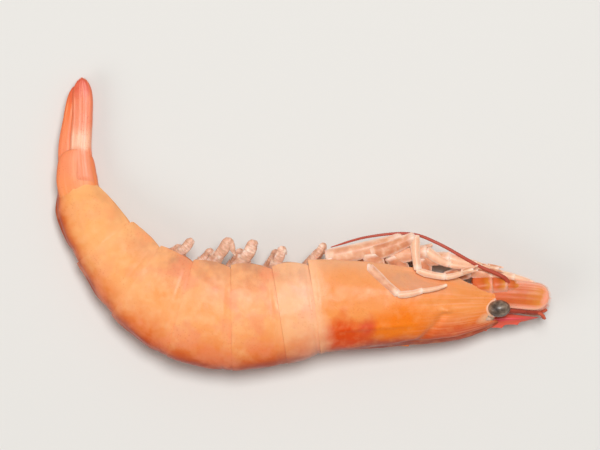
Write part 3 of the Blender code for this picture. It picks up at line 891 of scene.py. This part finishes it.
def rostrum():
    """The saw-toothed blade that runs on from the middle of the back, with teeth that lean forwards."""
    spacing = (ROSTRUM_REAR - 6.2) / ROSTRUM_TEETH
    under_rows = ((0.0, 3.9), (6.0, 3.3), (12.0, 2.8), (24.0, 6.0), (38.0, 8.2))

    def place(along, around):
        station = ROSTRUM_FRONT + (ROSTRUM_REAR - ROSTRUM_FRONT) * along
        top, under = rostrum_top(station), smooth_value(under_rows, 1, station)
        phase = ((ROSTRUM_REAR - station) / spacing) % 1.0
        if phase < TOOTH_RISE:
            tooth = TOOTH_HEIGHT * (phase / TOOTH_RISE) ** 1.6
        else:
            tooth = TOOTH_HEIGHT * ((1.0 - phase) / (1.0 - TOOTH_RISE)) ** 2
        tooth *= blend(4.0, 6.5, station)
        pinch = blend(0.0, 0.12, along) * blend(1.0, 0.97, along) + 0.02
        angle = 2 * math.pi * around
        level = (math.cos(angle) + 1.0) / 2
        height = under + (top - under) * level
        if along in (0.0, 1.0):
            height = (top + under) / 2
            thick = 0.0
        else:
            height += tooth * level**10
            fullness = 0.25 + 0.75 * math.sin(math.pi * min(1.0, 1.15 * level)) ** 0.7
            thick = fullness * ROSTRUM_HALF * pinch * math.sin(angle)
            thick *= 1.0 + 0.5 * bump(level, 0.45, 0.08)
        return body_point(station, height, thick), (along * 0.5, abs(2 * level - 1.0), 0.0)

    return close_seams(lay_grid("rostrum", 160, 28, place))


def flesh():
    """The soft body inside the shell, with the hard bars that cross its belly."""
    first, last = SHELL_FRONT - 1.0, TRUNK_END + 0.5
    starts = [part_start(name) for name in TAIL_PLATES]

    def bars(station):
        """How far the belly's bars stand out, or the gentle waves under the head."""
        total = 0.0
        for name, start in zip(TAIL_PLATES, starts):
            total += bump(station, start + 0.45 * BODY_PARTS[name][0], 1.3)
        return total if station > starts[0] else 0.45 + 0.45 * math.cos(station * 1.1)

    def place(along, around):
        station = first + (last - first) * along
        share = 2.0 * around if around <= 0.5 else 2.0 * around - 2.0
        belly = BELLY_SHARE * smooth_value(TRUNK, 2, station)
        reach = abs(share) / SHEET_SHARE
        if reach <= 1.0:
            height, side = shell_outline(station, reach, -FLESH_GAP, 0.2)
        else:
            rim_height, rim_side = shell_outline(station, 1.0, -FLESH_GAP, 0.2)
            inner = (reach - 1.0) / (1.0 / SHEET_SHARE - 1.0)
            side = rim_side * (1.0 - inner)
            height = rim_height + (-belly + 0.9 - rim_height) * blend(0.0, 0.5, inner)
            height -= 0.8 * bars(station) * blend(0.15, 0.4, inner) - 0.6 * bump(inner, 1.0, 0.15)
        end = math.sqrt(max(0.0, min(1.0, along / 0.02) * min(1.0, (1.0 - along) / 0.01)))
        point = body_point(station, height * end, math.copysign(side, share) * end)
        point.z += lumps(point, 3.0, 0.12) * MM
        return point, (station / BODY_LENGTH, min(1.0, reach), 0.5)

    return close_seams(lay_grid("flesh", 150, 72, place))


EYE_SHAPE = (1.25, 0.95, 1.0)  # the eyeball is longest along the body


def eye(side, radius):
    """Eyeball on a stalk that comes out of the notch in the head shell."""
    stalk = (
        (18.0, 1.2, 1.8 * side, 1.5, 1.4),
        (15.0, 1.3, 3.0 * side, 1.7, 1.6),
        (12.9, 1.5, 4.0 * side, 2.15, 2.0),
    )
    pieces = chain("eyestalk", stalk, sides=16)
    centre = body_point(12.0, 1.5, 4.6 * side)
    bpy.ops.object.select_all(action="DESELECT")
    bpy.ops.mesh.primitive_uv_sphere_add(segments=40, ring_count=28, radius=radius)
    ball = bpy.context.active_object
    bpy.ops.object.mode_set(mode="EDIT")
    bpy.ops.mesh.select_all(action="SELECT")
    bpy.ops.transform.resize(value=EYE_SHAPE)
    bpy.ops.object.mode_set(mode="OBJECT")
    for vert in ball.data.vertices:
        vert.co = vert.co * (1.0 + 0.02 * noise.noise(vert.co / (1.2 * MM))) + centre
        vert.co.z = max(vert.co.z, TABLE_GAP)
    return joined(f"eyestalk_{side_name(side)}", pieces), joined(f"eyeball_{side_name(side)}", [ball])


def side_name(side):
    """Left is 1 and faces up, because the prawn lies on its right side; right is -1."""
    return "left" if side > 0 else "right"


def head_scale(side):
    """The broad flat blade beside the feelers. The right one has slipped a little towards the back."""
    slip = 0.0 if side > 0 else 2.0
    rows = (
        (16.0, -2.2, 2.6 * side, 3.0, 0.4),
        (9.0, -2.0 + 0.4 * slip, 3.4 * side, 3.4, 0.35),
        (3.0, -1.6 + 0.8 * slip, 3.9 * side, 3.6, 0.3),
        (-0.4, -1.2 + slip, 4.0 * side, 3.6, 0.22),
    )
    ribs = ((-0.86, 0.3), (-0.5, 0.07), (-0.1, 0.06), (0.3, 0.05))
    scale = blade("scale", rows, ribs, cup=0.3, sides=60, power=6.0)
    hairs = fringe("scale_hairs", rows, 0.9, 60, reach_from=0.4, power=6.0)
    return joined(f"scale_{side_name(side)}", [scale, hairs])


def head_stalks(side):
    """The two feelers' stalks, with the short twin whips of the upper one."""
    upper = [
        (15.5, 0.7, 1.5 * side, 1.55, 1.35),
        (9.6, 1.25, 1.6 * side, 1.35, 1.2),
        (5.0, 1.7, 1.6 * side, 1.1, 1.0),
        (1.6, 2.15, 1.7 * side, 0.8, 0.75),
    ]
    lower = [
        (18.0, -3.9, 2.9 * side, 2.2, 1.8),
        (13.4, -4.2, 3.4 * side, 2.0, 1.7),
        (9.8, -4.3, 3.5 * side, 1.5, 1.3),
        (6.6, -4.0, 3.2 * side, 1.0, 0.95),
    ]
    inner_whip = [
        (2.0, 2.0, 1.5 * side, 0.5, 0.45),
        (0.8, 2.2, 1.5 * side, 0.4, 0.4),
        (-0.3, 1.7, 1.4 * side, 0.3, 0.3),
    ]
    outer_whip = [
        (2.0, 2.5, 2.0 * side, 0.5, 0.45),
        (0.9, 3.2, 2.6 * side, 0.4, 0.4),
        (0.3, 4.2, 3.0 * side, 0.3, 0.3),
    ]
    whips = [
        feeler("inner_whip", inner_whip, 24, tone=0.3),
        feeler("outer_whip", outer_whip, 28, tone=0.3),
    ]
    name = side_name(side)
    upper_stalk = joined(f"upper_stalk_{name}", chain("upper_stalk", upper) + whips)
    return upper_stalk, joined(f"lower_stalk_{name}", chain("lower_stalk", lower))


def mouth_leg(side):
    """The longest of the mouth's limbs, with fine hairs along its last segments."""
    joints = [
        (25.0, -6.4, 2.4 * side, 1.4, 1.3),
        (19.0, -7.8, 3.0 * side, 1.5, 1.2),
        (13.5, -7.2, 3.0 * side, 1.2, 1.0),
        (8.0, -6.2, 2.8 * side, 0.9, 0.8),
        (3.6, -5.0, 2.6 * side, 0.5, 0.5),
    ]
    pieces = chain("mouth_leg", joints)
    for start, end in zip(joints[1:], joints[2:]):
        pieces.append(fringe("mouth_leg_hairs", (start, end), 1.1, 26, reach_from=0.1, power=40.0))
    return joined(f"mouth_leg_{side_name(side)}", pieces)


def long_feeler():
    """The stretch of a feeler that trails back under the head."""
    rows = (
        (9.5, -4.2, 3.6, 0.65, 0.65),
        (11.0, -6.4, 4.6, 0.52, 0.52),
        (17.5, -9.4, 5.4, 0.44, 0.44),
        (27.0, -15.0, 5.8, 0.4, 0.4),
        (34.0, -17.6, 5.0, 0.36, 0.36),
        (44.0, -17.2, 4.8, 0.32, 0.32),
        (53.0, -15.2, 4.2, 0.24, 0.24),
    )
    return feeler("long_feeler", rows, 220)


# Joints of each walking leg in body measures, from its root to its tip.
LEG_JOINTS = {
    "leg_1": (
        (31.0, -7.0, 3.4), (31.0, -11.6, 4.4), (24.0, -11.2, 5.2),
        (17.5, -9.6, 4.6), (12.0, -8.4, 4.2),
    ),
    "leg_2": (
        (36.0, -7.6, 3.8), (38.0, -12.4, 4.8), (29.5, -13.0, 5.8),
        (24.0, -9.6, 5.4), (16.0, -9.0, 5.0),
    ),
    "leg_3": (
        (42.5, -8.0, 4.6), (43.0, -13.2, 5.6), (32.4, -16.7, 6.4),
        (32.0, -8.4, 7.4), (25.2, -6.6, 7.6), (18.4, -8.4, 6.8),
    ),
    "leg_4": (
        (45.0, -8.8, 4.8), (43.6, -9.4, 7.2), (37.0, -2.6, 9.4),
        (31.0, -3.4, 9.0), (25.0, -4.6, 8.4),
    ),
    "leg_5": (
        (52.5, -8.0, 4.8), (54.0, -12.6, 5.4), (35.4, -16.3, 5.2),
        (33.6, -13.0, 3.8), (27.0, -12.0, 3.4),
    ),
}
# The right legs that lie another way than the left ones.
RIGHT_LEG_JOINTS = {
    "leg_4": (
        (45.0, -8.8, 4.6), (45.4, -12.2, 5.0), (35.0, -14.6, 5.0),
        (30.0, -12.6, 4.6), (23.0, -11.8, 4.4),
    ),
    "leg_5": (
        (51.0, -8.8, 4.0), (51.0, -11.4, 4.2), (38.0, -12.4, 3.4),
        (34.0, -13.6, 3.0), (28.0, -14.6, 2.8),
    ),
}
CLAWED_LEGS = ("leg_1", "leg_2", "leg_3")
FINGER_REACH = 1.2  # how far a claw's fingers reach past the tip
# Half breadth and half thickness of a leg at each joint; the fourth pair is the slimmest.
LEG_SIZES = {
    "leg_1": ((2.2, 1.6), (1.9, 1.3), (1.3, 1.0), (0.85, 0.75), (0.45, 0.4)),
    "leg_3": ((2.4, 1.7), (2.2, 1.3), (1.2, 0.95), (0.85, 0.7), (0.75, 0.6), (0.4, 0.35)),
    "leg_4": ((1.8, 1.3), (1.2, 0.95), (0.85, 0.7), (0.65, 0.55), (0.35, 0.35)),
    "leg_5": ((2.4, 1.7), (2.3, 1.3), (1.5, 1.05), (0.85, 0.75), (0.45, 0.4)),
}


def walking_leg(name, side):
    """A walking leg; each of the first three pairs ends in a small claw of two fingers."""
    path = LEG_JOINTS[name] if side > 0 else RIGHT_LEG_JOINTS.get(name, LEG_JOINTS[name])
    sizes = LEG_SIZES.get(name, LEG_SIZES["leg_1"])
    joints = [(s, h, out * side, *size) for (s, h, out), size in zip(path, sizes, strict=True)]
    pieces = chain(name, joints, curve=0.3)
    if name in CLAWED_LEGS:
        # The fingers begin inside the last segment and reach past its tip.
        wrist, tip = Vector(joints[-2][:3]), Vector(joints[-1][:3])
        start = wrist.lerp(tip, 0.62)
        beyond = tip + (tip - wrist).normalized() * FINGER_REACH
        fork = Vector((0.0, 0.55, 0.25 * side))
        for sign in (1.0, -1.0):
            finger = [(*(start + fork * sign * 0.6), 0.5, 0.4), (*(beyond + fork * sign), 0.16, 0.14)]
            pieces += chain("finger", finger, sides=8)
    return joined(f"{name}_{side_name(side)}", pieces)


# Each paddle by its station, forward slant, reach below the shell, curl and half breadth, all in mm.
PADDLES = {
    1: (
        (62.0, 7.0, 3.5, 0.8, 0.95),
        (68.8, 4.3, 3.1, 1.0, 1.25),
        (79.5, 6.6, 4.6, 1.0, 1.55),
        (89.0, 7.2, 5.6, 3.4, 1.45),
        (100.5, 3.4, 4.2, 1.2, 1.25),
    ),
    -1: (
        (61.0, 5.6, 2.4, 1.0, 1.0),
        (71.0, 4.6, 2.4, 1.0, 1.1),
        (82.0, 5.0, 2.8, 1.4, 1.2),
        (92.5, 4.4, 2.6, 1.2, 1.2),
        (104.0, 3.6, 1.8, 1.0, 1.1),
    ),
}


def swimmeret(number, side):
    """A paddle: a stout base that hangs forwards, and two ringed and fringed branches."""
    station, slant, reach, curl, wide = PADDLES[side][number]
    depth = smooth_value(TRUNK, 2, station)
    # The root is sunk into the belly.
    root_height, tip_height = 1.6 - BELLY_SHARE * depth, -depth - reach

    def on_the_way(share):
        """Station and height at a share of the way from the root to the tip."""
        return station - slant * share, root_height + (tip_height - root_height) * share

    base = [
        (*on_the_way(0.0), 4.0 * side, 1.6, 1.2),
        (*on_the_way(0.35), 3.9 * side, 1.15 * wide, 1.1),
        (*on_the_way(0.66), 3.5 * side, 1.05 * wide, 0.95),
    ]
    # Each branch: share of the way to the tip, steps from there, half its breadth and thickness.
    branches = {
        "outer": (
            (0.5, 0.0, 0.0, 3.7, 0.85 * wide, 0.6),
            (0.78, -0.3, 0.0, 4.2, wide, 0.6),
            (1.0, -0.1 * curl, 0.0, 4.2, 0.95 * wide, 0.5),
            (1.0, -0.6 * curl, 0.35 * curl, 4.0, 0.75 * wide, 0.45),
            (1.0, -1.0 * curl, 0.95 * curl, 3.6, 0.45 * wide, 0.3),
        ),
        "inner": (
            (0.5, 0.0, 0.0, 3.3, 0.7 * wide, 0.45),
            (0.74, 0.3, 0.0, 2.8, 0.8 * wide, 0.4),
            (0.88, 0.3, 0.0, 2.4, 0.6 * wide, 0.35),
            (0.97, -0.1 * curl, 0.2, 2.0, 0.3 * wide, 0.25),
        ),
    }
    pieces = chain("paddle_base", base, sides=14)
    for branch, steps in branches.items():
        rows = []
        for share, further, higher, out, breadth, thickness in steps:
            along, height = on_the_way(share)
            rows.append((along + further, height + higher, out * side, breadth, thickness))
        pieces.append(blade(f"{branch}_branch", rows, steps=30, sides=16, rings=0.05))
        pieces.append(fringe(f"{branch}_hairs", rows, 0.6, 14, reach_from=0.5))
    return joined(f"paddle_{number + 1}_{side_name(side)}", pieces)


TELSON_FRONT = 129.5
TELSON_LENGTH = 24.4


def telson():
    """The pointed middle blade of the tail, with a furrow down its back and small side spines."""
    # Station, height of its middle, half its thickness and half its breadth.
    rows = (
        (TELSON_FRONT, 3.0, 1.8, 3.0),
        (136.0, 3.0, 1.5, 2.8),
        (145.0, 2.5, 1.1, 1.7),
        (153.5, 1.7, 0.4, 0.35),
    )

    def place(along, around):
        station = TELSON_FRONT + TELSON_LENGTH * along
        height = smooth_value(rows, 1, station)
        up, wide = smooth_value(rows, 2, station), smooth_value(rows, 3, station)
        angle = 2 * math.pi * around
        end = blend(0.0, 0.03, along) * math.sqrt(max(0.0, 1.0 - along**8))
        across, level = math.sin(angle), math.cos(angle)
        furrow = 0.45 * bump(across, 0.0, 0.22) * (level > 0) * blend(0.95, 0.7, along)
        spine = 0.18 * max(0.0, math.sin(along * 38.0)) * abs(across) ** 6 * blend(0.4, 0.6, along)
        tall = (up * level - furrow) * end
        side = (wide * across + math.copysign(spine, across)) * end
        return body_point(station, height + tall, side), (along, abs(across), 0.5)

    return close_seams(lay_grid("telson", 60, 40, place))


def fan_side(side):
    """One side of the tail fan: its joint, the broad outer blade and the narrower inner one."""
    joint = (
        (129.0, 0.9, 1.3 * side, 5.0, 1.9),
        (134.5, 1.0, 2.2 * side, 5.1, 1.5),
        (142.0, 0.6, 3.1 * side, 4.2, 0.75),
    )
    joint_blade = blade("fan_joint", joint, steps=40, sides=48, power=12.0, tone=0.3)
    outer = (
        (133.0, -0.4, 3.0 * side, 3.0, 0.5),
        (142.0, -0.6, 3.1 * side, 2.5, 0.42),
        (151.0, -0.7, 2.9 * side, 2.4, 0.36),
        (159.5, 0.8, 2.4 * side, 2.9, 0.28),
    )
    inner = (
        (133.0, 1.9, 1.9 * side, 3.6, 0.45),
        (142.0, 2.0, 1.9 * side, 3.0, 0.4),
        (149.5, 1.7, 1.6 * side, 2.25, 0.36),
        (157.6, 1.6, 1.3 * side, 2.1, 0.3),
    )
    outer_ribs = ((0.5, 0.04), (0.15, 0.1), (-0.3, 0.04), (-0.84, 0.1))
    inner_ribs = ((0.55, 0.08), (0.1, 0.1), (-0.3, 0.04), (-0.8, 0.06))
    outer_blade = blade("outer_fan", outer, outer_ribs, cup=0.3, steps=60, sides=72, power=9.0)
    inner_blade = blade("inner_fan", inner, inner_ribs, cup=0.3, steps=60, sides=64, power=14.0)
    outer_hairs = fringe("outer_fan_hairs", outer, 0.7, 80, reach_from=0.5, power=9.0, spread=0.3)
    inner_hairs = fringe("inner_fan_hairs", inner, 0.7, 70, reach_from=0.5, power=14.0, spread=0.3)
    name = side_name(side)
    return (
        joined(f"fan_joint_{name}", [joint_blade]),
        joined(f"outer_fan_{name}", [outer_blade, outer_hairs]),
        joined(f"inner_fan_{name}", [inner_blade, inner_hairs]),
    )


class PrawnSizeSettings(bpy.types.PropertyGroup):
    """Sizes of the shell and the eyes"""

    head_thickness: bpy.props.FloatProperty(
        name="Head shell",
        description="Thickness of the head shell",
        default=0.35 * MM, min=0.0001, unit="LENGTH",
    )
    plate_thickness: bpy.props.FloatProperty(
        name="Tail plates",
        description="Thickness of each tail plate",
        default=0.3 * MM, min=0.0001, unit="LENGTH",
    )
    plate_overlap: bpy.props.FloatProperty(
        name="Overlap",
        description="How far a tail plate lies over the next one",
        default=1.2 * MM, unit="LENGTH",
    )
    eye_radius: bpy.props.FloatProperty(
        name="Eyes", description="Radius of each eyeball", default=2.25 * MM, min=0.0005, unit="LENGTH"
    )


class PrawnColourSettings(bpy.types.PropertyGroup):
    """Main colour of each kind of piece"""

    plates: bpy.props.FloatVectorProperty(
        name="Tail plates",
        description="Colour of the plates' sides",
        default=linear("#faa05e")[:3], subtype="COLOR",
    )
    head: bpy.props.FloatVectorProperty(
        name="Head shell",
        description="Colour of the head's sides",
        default=linear("#f5944c")[:3], subtype="COLOR",
    )
    legs: bpy.props.FloatVectorProperty(
        name="Legs",
        description="Main colour of the legs",
        default=linear("#da946e")[:3], subtype="COLOR",
    )
    paddles: bpy.props.FloatVectorProperty(
        name="Paddles",
        description="Main colour of the paddles",
        default=linear("#e4b094")[:3], subtype="COLOR",
    )
    flesh: bpy.props.FloatVectorProperty(
        name="Flesh",
        description="Main colour of the flesh",
        default=linear("#fbd8be")[:3], subtype="COLOR",
    )
    eyes: bpy.props.FloatVectorProperty(
        name="Eyes",
        description="Main colour of the eyeballs",
        default=linear("#5a483b")[:3], subtype="COLOR",
    )


class PrawnStageSettings(bpy.types.PropertyGroup):
    """Framing, light and table top"""

    frame_width: bpy.props.FloatProperty(
        name="Frame width",
        description="Width of table that the camera sees",
        default=0.15, unit="LENGTH",
    )
    key_power: bpy.props.FloatProperty(
        name="Key light", description="Power of the window light", default=12.5, min=0.0, unit="POWER"
    )
    table_colour: bpy.props.FloatVectorProperty(
        name="Table",
        description="Colour of the table top",
        default=linear("#dcdad6")[:3], subtype="COLOR",
    )


class PRAWN_OT_flesh(bpy.types.Operator):
    """Make the soft body inside the shell"""

    bl_idname = "prawn.flesh"
    bl_label = "Flesh"

    def execute(self, context):
        dress(flesh(), cooked_flesh_material(context.scene.prawn_colours.flesh))
        return {"FINISHED"}


class PRAWN_OT_head_shell(bpy.types.Operator):
    """Make the head shell and the saw-toothed rostrum"""

    bl_idname = "prawn.head_shell"
    bl_label = "Head shell"

    def execute(self, context):
        material = cooked_carapace_material(context.scene.prawn_colours.head)
        dress(head_shell(context.scene.prawn_sizes.head_thickness), material)
        dress(rostrum(), rostrum_material())
        return {"FINISHED"}


class PRAWN_OT_tail_plates(bpy.types.Operator):
    """Make the six overlapping plates of the tail"""

    bl_idname = "prawn.tail_plates"
    bl_label = "Tail plates"

    def execute(self, context):
        settings = context.scene.prawn_sizes
        material = cooked_plate_material(context.scene.prawn_colours.plates)
        for name in TAIL_PLATES:
            dress(tail_plate(name, settings.plate_thickness, settings.plate_overlap), material)
        return {"FINISHED"}


class PRAWN_OT_eyes(bpy.types.Operator):
    """Make the two stalked eyes"""

    bl_idname = "prawn.eyes"
    bl_label = "Eyes"

    def execute(self, context):
        colours = context.scene.prawn_colours
        stalk_material, ball_material = leg_shell_material(colours.legs), eye_material(colours.eyes)
        for side in (1, -1):
            stalk, ball = eye(side, context.scene.prawn_sizes.eye_radius)
            dress(stalk, stalk_material)
            dress(ball, ball_material)
        return {"FINISHED"}


class PRAWN_OT_feelers(bpy.types.Operator):
    """Make the feelers, their stalks and the broad scales beside them"""

    bl_idname = "prawn.feelers"
    bl_label = "Feelers"

    def execute(self, context):
        material = feeler_material()
        flat_material = scale_material()
        for side in (1, -1):
            upper_stalk, lower_stalk = head_stalks(side)
            dress(head_scale(side), flat_material)
            dress(lower_stalk, flat_material)
            dress(upper_stalk, material)
        dress(long_feeler(), material)
        return {"FINISHED"}


class PRAWN_OT_legs(bpy.types.Operator):
    """Make the mouth legs and the five pairs of walking legs"""

    bl_idname = "prawn.legs"
    bl_label = "Legs"

    def execute(self, context):
        material = leg_shell_material(context.scene.prawn_colours.legs)
        for side in (1, -1):
            dress(mouth_leg(side), material)
            for name in LEG_JOINTS:
                dress(walking_leg(name, side), material)
        return {"FINISHED"}


class PRAWN_OT_paddles(bpy.types.Operator):
    """Make the five pairs of paddles under the tail"""

    bl_idname = "prawn.paddles"
    bl_label = "Paddles"

    def execute(self, context):
        material = paddle_material(context.scene.prawn_colours.paddles)
        for side, row in PADDLES.items():
            for number in range(len(row)):
                dress(swimmeret(number, side), material)
        return {"FINISHED"}


class PRAWN_OT_tail_fan(bpy.types.Operator):
    """Make the pointed middle blade and the side blades of the tail fan"""

    bl_idname = "prawn.tail_fan"
    bl_label = "Tail fan"

    def execute(self, context):
        orange_stops = (
            (0.0, "#f4964e"), (0.16, "#f2905c"), (0.34, "#ee8a60"), (0.8, "#ec7840"), (1.0, "#d65640"),
        )
        # Painted highlight: the outer blade has a pale cream patch near its root.
        pale_stops = (
            (0.28, "#f09068"), (0.37, "#f2c2a2"), (0.45, "#f4c0a0"), (0.57, "#f09270"),
            (0.8, "#ea805c"), (0.92, "#dc6046"), (1.0, "#ce4c3a"),
        )
        orange = fan_material("cooked prawn fan shell", orange_stops, "#f8a272")
        pale = fan_material("cooked prawn outer fan shell", pale_stops, "#f89e7a")
        dress(telson(), orange)
        for side in (1, -1):
            joint, outer_blade, inner_blade = fan_side(side)
            dress(joint, orange)
            dress(outer_blade, pale)
            dress(inner_blade, orange)
        return {"FINISHED"}


FLOOR_SIZE = 6.0
FILL_SHARE = 0.28  # power of the fill light, as a share of the window's
ROOM_STRENGTH = 0.3
LENS, SENSOR = 250.0, 36.0  # long lens, in mm, so that little of the sides shows


class PRAWN_OT_stage(bpy.types.Operator):
    """Set the table top, the lights and the camera that looks straight down"""

    bl_idname = "prawn.stage"
    bl_label = "Stage"

    def execute(self, context):
        settings = context.scene.prawn_stage
        bpy.ops.object.select_all(action="DESELECT")
        bpy.ops.mesh.primitive_plane_add(size=FLOOR_SIZE)
        floor = context.active_object
        floor.name = "table_top"
        floor.data.materials.append(floor_material(settings.table_colour))
        # A broad window light from above the belly side, and a weaker one that opens the shadows.
        lights = (
            ("window", (0.1, 0.27, 1.22), 0.5, settings.key_power),
            ("fill", (-0.9, -0.5, 0.9), 0.9, settings.key_power * FILL_SHARE),
        )
        for name, place, size, power in lights:
            lamp = bpy.data.lights.new(name, "AREA")
            lamp.shape = "DISK"
            lamp.size = size
            lamp.energy = power
            lamp_object = bpy.data.objects.new(name, lamp)
            lamp_object.location = place
            lamp_object.rotation_euler = (-Vector(place)).to_track_quat("-Z", "Y").to_euler()
            context.scene.collection.objects.link(lamp_object)
        world = bpy.data.worlds.new("soft room")
        world.use_nodes = True
        world.node_tree.nodes["Background"].inputs["Color"].default_value = linear("#f4f1ec")
        world.node_tree.nodes["Background"].inputs["Strength"].default_value = ROOM_STRENGTH
        context.scene.world = world
        lens = bpy.data.cameras.new("overhead")
        lens.lens, lens.sensor_width = LENS, SENSOR
        camera = bpy.data.objects.new("overhead", lens)
        # The frame's width is seen at about half the height of the prawn.
        camera.location = (0.0, 0.0, settings.frame_width * LENS / SENSOR + 0.01)
        context.scene.collection.objects.link(camera)
        context.scene.camera = camera
        context.scene.view_settings.view_transform = "Standard"
        return {"FINISHED"}


OPERATORS = (
    PRAWN_OT_flesh,
    PRAWN_OT_head_shell,
    PRAWN_OT_tail_plates,
    PRAWN_OT_eyes,
    PRAWN_OT_feelers,
    PRAWN_OT_legs,
    PRAWN_OT_paddles,
    PRAWN_OT_tail_fan,
    PRAWN_OT_stage,
)


class PRAWN_PT_pieces(bpy.types.Panel):
    """Lists the prawn's pieces"""

    bl_label = "Prawn"
    bl_idname = "PRAWN_PT_pieces"
    bl_space_type = "VIEW_3D"
    bl_region_type = "UI"
    bl_category = "Prawn"

    def draw(self, context):
        layout, scene = self.layout, context.scene
        for settings in (scene.prawn_sizes, scene.prawn_colours, scene.prawn_stage):
            for key in settings.bl_rna.properties.keys():
                if key not in ("rna_type", "name"):
                    layout.prop(settings, key)
        for operator in OPERATORS:
            layout.operator(operator.bl_idname)


CLASSES = (PrawnSizeSettings, PrawnColourSettings, PrawnStageSettings, *OPERATORS, PRAWN_PT_pieces)


def register():
    """Makes the settings, the operators and the panel known."""
    for cls in CLASSES:
        bpy.utils.register_class(cls)
    bpy.types.Scene.prawn_sizes = bpy.props.PointerProperty(type=PrawnSizeSettings)
    bpy.types.Scene.prawn_colours = bpy.props.PointerProperty(type=PrawnColourSettings)
    bpy.types.Scene.prawn_stage = bpy.props.PointerProperty(type=PrawnStageSettings)


def unregister():
    """Takes them away again."""
    del bpy.types.Scene.prawn_stage
    del bpy.types.Scene.prawn_colours
    del bpy.types.Scene.prawn_sizes
    for cls in reversed(CLASSES):
        bpy.utils.unregister_class(cls)


def main():
    """Dresses the whole prawn, piece by piece."""
    register()
    bpy.ops.prawn.flesh()
    bpy.ops.prawn.head_shell()
    bpy.ops.prawn.tail_plates()
    bpy.ops.prawn.eyes()
    bpy.ops.prawn.feelers()
    bpy.ops.prawn.legs()
    bpy.ops.prawn.paddles()
    bpy.ops.prawn.tail_fan()
    bpy.ops.prawn.stage()


if __name__ == "__main__":
    main()
